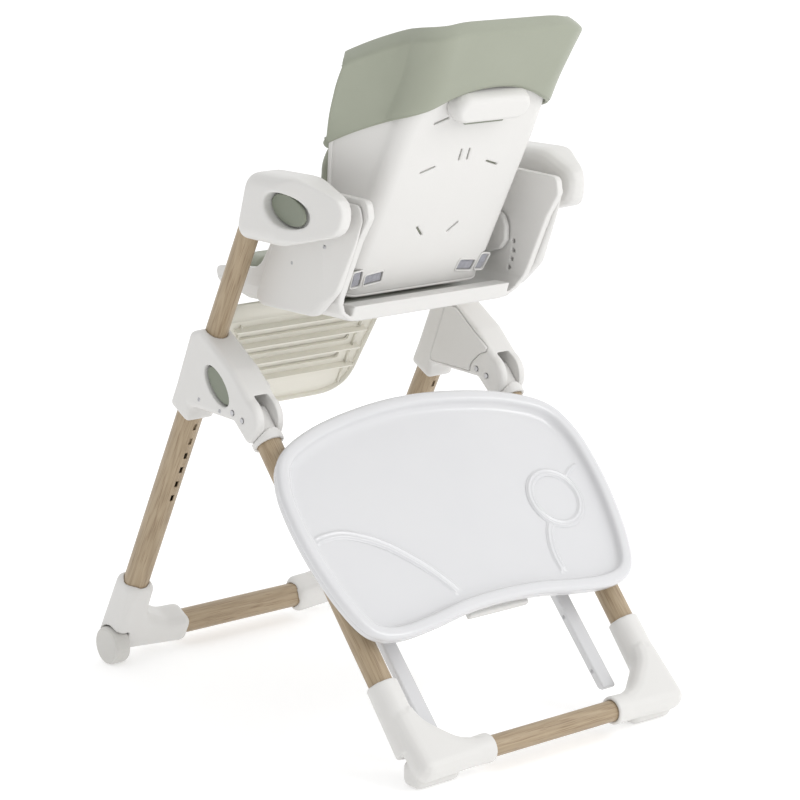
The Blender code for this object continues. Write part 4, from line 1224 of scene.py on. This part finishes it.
FLANGE_LINE = [(0.158, 0.094), (0.156, 0.125), (0.153, 0.165), (0.150, 0.205), (0.147, 0.236), (0.138, 0.258),
               (0.120, 0.272), (0.095, 0.278), (0.050, 0.2785), (0, 0.2785)]
flange_path = smooth_line(FLANGE_LINE + [(-x, down) for x, down in reversed(FLANGE_LINE[:-1])], 6)
flange_rows = [[calf_point(p.x, p.y, rear) for p in flange_path] for rear in (-0.0025, 0.004, 0.0105)]
sheet_of(piece("calf_flange", skin_mesh("flange", flange_rows), IVORY, "calf_rest"), 0.0024, 0)
RIB_X, RIB_HALF = 0.128, 0.0011
ribs = []
for x in (-RIB_X, RIB_X):
    for top, bottom in ((0.098, 0.140), (0.142, 0.180), (0.184, 0.219), (0.223, 0.262)):
        ribs.append(slab((x - RIB_HALF, top, 0.002), (x + RIB_HALF, bottom, 0.0085), calf_point))
ribs.append(slab((-0.1555, 0.056, -0.0024), (0.1555, 0.0965, 0.0024), calf_point))
piece("calf_ribs", join_meshes("calf_ribs", ribs), IVORY, "calf_rest")
print("calf moulding:", len(ribs), "ribs")

# %% [markdown]
# The pad's underside shows through the openings as a slack sheet of cloth-backed foam. A grid with a
# little noise in it is enough, because only a strip of it is ever seen.

# %% Backing behind the openings
def backing_point(x, down):
    slack = 0.0006 * noise.noise(Vector((x * 60, down * 160, 1.0)))
    return calf_point(x, down, -0.0034 + slack)


backing_rows = [[backing_point(-RIB_X + 2 * RIB_X * s / 80, 0.112 + 0.102 * k / 49) for s in range(81)]
                for k in range(50)]
piece("calf_backing", skin_mesh("calf_backing", backing_rows), IVORY, "calf_rest")
print("backing", round(2 * RIB_X, 3), "by", 0.102, "m")

# %% [markdown]
# ## Screws and webbing
# Cross-head screws hold the mouldings together. One head is turned as a domed disc with a cross cut
# into it, and copies of its mesh are set wherever a screw shows.

# %% One screw head, set many times
def screw_mesh():
    profile = ((0.0016, 0.0012), (0.0026, 0.0009), (0.0031, 0.0003), (0.0031, -0.0012))
    rows = [[(p.x, p.y, height) for p in circle((0, 0), radius, 24)] for radius, height in profile]
    head = bpy.data.objects.new("screw", skin_mesh("screw", rows, closed=True))
    bpy.context.scene.collection.objects.link(head)
    for long, wide in ((0.0017, 0.00038), (0.00038, 0.0017)):
        ring = [(-long, -wide), (long, -wide), (long, wide), (-long, wide)]
        cut(head, skin_mesh("arm", [[(x, y, z) for x, y in ring] for z in (0.0002, 0.003)], closed=True))
    mesh = head.data
    bpy.data.objects.remove(head)
    return mesh


SCREW = screw_mesh()


def screws(name, body, points, out, size=1.0):
    """Screw heads at some points, all facing one way, joined into one piece."""
    lie = Vector(out).to_track_quat("Z", "Y").to_matrix().to_4x4() @ Matrix.Scale(size, 4)
    made = []
    for point in points:
        copy = SCREW.copy()
        copy.transform(Matrix.Translation(point) @ lie)
        made.append(copy)
    return piece(name, join_meshes(name, made), STEEL, body)


def face_points(node, sign, sunk, places):
    """Points on the outer side face of a part, at places measured from the side view's zero."""
    x = sign * (max(abs(corner.x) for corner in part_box(node)) - sunk)
    return [Vector((x, y + SHIFT_Y, z)) for y, z in places]


def inner_x(node):
    """How far a part's inner side lies from the chair's middle plane."""
    return min(abs(corner.x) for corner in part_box(node))


ARM_DEPTH = -0.091
bar = middle("front_crossbar")
for label, sign in SIDES:
    side = Vector((sign, 0, 0))
    screws(f"housing_screws_{label}", "front_frame", face_points(
        f"hinge_housing_{label}", sign, 0.0004, ((-0.213, 0.500), (-0.158, 0.491))), side, 1.15)
    screws(f"panel_screws_{label}", "seat", face_points(
        f"side_panel_{label}", sign, 0.0006, ((-0.050, 0.729), (0.030, 0.763))), side)
    screws(f"tray_arm_screws_{label}", "tray", [
        tray_point(sign * inner_x(f"tray_arm_{label}"), s, ARM_DEPTH) for s in (-0.118, -0.020)], -side, 1.1)
    foot_x = sign * (inner_x(f"front_foot_{label}") + 0.012)
    screws(f"foot_screws_{label}", "front_frame", [(foot_x, bar.y + 0.0245, bar.z + 0.006)], (0, 1, 0.1))
print("screws set on both sides")

# %% [markdown]
# The harness ends lie in four framed windows low on the shell, each a flat loop over a bar. The frame
# is a small raised lip with the window's own outline, and the loop is a bent strip given the
# thickness of webbing.

# %% Webbing loops and frames in the windows
FRAME_PROFILE = ((0.0, 0.0024), (0.0010, 0.0024), (0.0016, 0.0016), (0.0016, 0.0004), (0.0008, 0.0),
                 (-0.003, 0.0))


def window_frame(long, wide, matrix):
    rows = pill_rows(long, wide, WINDOW_CORNER, matrix, FRAME_PROFILE)
    return skin_mesh("window_frame", rows, closed=True, caps=(False, False))


def strap_loop(long, wide, matrix, along_long):
    """A strap end folded over its bar, seen as a band with two rounded turns."""
    rows = []
    band, reach = (wide, long) if along_long else (long, wide)
    for k in range(25):
        u = k / 24 * 2 - 1
        lift = -0.0006 - 0.0032 * abs(u) ** 3 + 0.0004 * math.cos(u * 9)
        row = []
        for s in range(9):
            w = (s / 8 * 2 - 1) * band * 0.42
            x, y = (u * reach * 0.5, w) if along_long else (w, u * reach * 0.5)
            row.append(matrix @ Vector((x, y, lift * OUT_SIGN)))
        rows.append(row)
    return skin_mesh("strap_loop", rows)


frames, loops = [], []
for x, v, long, wide, turn in WINDOWS:
    matrix = back_matrix(x, v, turn)
    frames.append(window_frame(long, wide, matrix))
    loops.append(strap_loop(long * 0.86, wide * 0.78, matrix, long > wide))
piece("window_frames", join_meshes("window_frames", frames), WHITE, "backrest")
sheet_of(piece("strap_ends", join_meshes("strap_ends", loops), WEBBING, "backrest"), 0.0014, 0)
print(len(loops), "strap ends in their windows")

# %% [markdown]
# ## Studio
# A pale sweep under two large soft lamps and a white sky gives a shadow only where the chair touches
# the floor. The floor is wide enough to have no edge in view, and glows a little, as paper does when
# a studio lights it from all round.

# %% Floor and lamps
FLOOR_HALF = 60


def floor_sheet():
    bm = bmesh.new()
    bmesh.ops.create_grid(bm, x_segments=1, y_segments=1, size=FLOOR_HALF)
    floor = bpy.data.objects.new("floor", mesh_from("floor", bm))
    bpy.context.scene.collection.objects.link(floor)
    paper = Finish("studio_paper", 0.9, Emission_Color=rgb(1, 1, 1), Emission_Strength=0.34)
    paper.put(Base_Color=paper.tint(paper.grain(3.0), rgb(0.83, 0.83, 0.83), rgb(0.85, 0.85, 0.85)))
    floor.data.materials.append(paper.material)
    return floor


def lamp(name, place, target, size, watts):
    data = bpy.data.lights.new(name, "AREA")
    data.shape = "DISK"
    data.size = size
    data.energy = watts
    obj = bpy.data.objects.new(name, data)
    bpy.context.scene.collection.objects.link(obj)
    obj.location = place
    obj.rotation_euler = (Vector(target) - Vector(place)).to_track_quat("-Z", "Y").to_euler()
    return obj


floor_sheet()
lamp("key", (-1.5, 3.3, 2.5), (0, 0, 0.5), 2.2, 38)
lamp("top", (-0.6, 0.6, 4.2), (0, 0, 0), 3.0, 6)
print("floor laid and two lamps hung")

# %% [markdown]
# The sky is white all round but dimmer to the child's left, so that the sides turned that way fall
# into a gentle shade and the forms read.

# %% A sky that is brighter on one side
world = bpy.data.worlds.new("white_sky")
bpy.context.scene.world = world
world.use_nodes = True
sky = world.node_tree
direction = sky.nodes.new("ShaderNodeTexCoord")
parts = sky.nodes.new("ShaderNodeSeparateXYZ")
sky.links.new(direction.outputs["Generated"], parts.inputs[0])
shade = sky.nodes.new("ShaderNodeMapRange")
for socket, value in (("From Min", -0.55), ("From Max", 0.9), ("To Min", 1.10), ("To Max", 0.66)):
    shade.inputs[socket].default_value = value
sky.links.new(parts.outputs["X"], shade.inputs["Value"])
sky.links.new(shade.outputs["Result"], sky.nodes["Background"].inputs["Strength"])
sky.nodes["Background"].inputs["Color"].default_value = rgb(1, 1, 1)
bpy.context.scene.view_settings.view_transform = "Standard"

print("sky strength", [round(shade.inputs[end].default_value, 2) for end in ("To Min", "To Max")])

# %% [markdown]
# A long lens from behind the child's left shoulder keeps the legs nearly parallel. The camera's place
# is given from the side view's own zero, and its three turns are how far it is tipped up from looking
# straight down, how far it leans, and which way it faces.

# %% Camera
LENS_MM, SENSOR_MM = 122.65, 36.0
EYE = Vector((2.6346, 3.1823 + SHIFT_Y, 1.4300))
TILT, LEAN, HEADING = 77.236, 0.384, 140.722
eye = bpy.data.cameras.new("eye")
eye.lens, eye.sensor_width = LENS_MM, SENSOR_MM
eye.shift_x, eye.shift_y = -0.0029, 0.0009
camera = bpy.data.objects.new("camera", eye)
bpy.context.scene.collection.objects.link(camera)
camera.location = EYE
camera.rotation_euler = [math.radians(turn) for turn in (TILT, LEAN, HEADING)]
bpy.context.scene.camera = camera
print("camera", round((EYE - middle("seat_tub")).length, 2), "m from the seat")
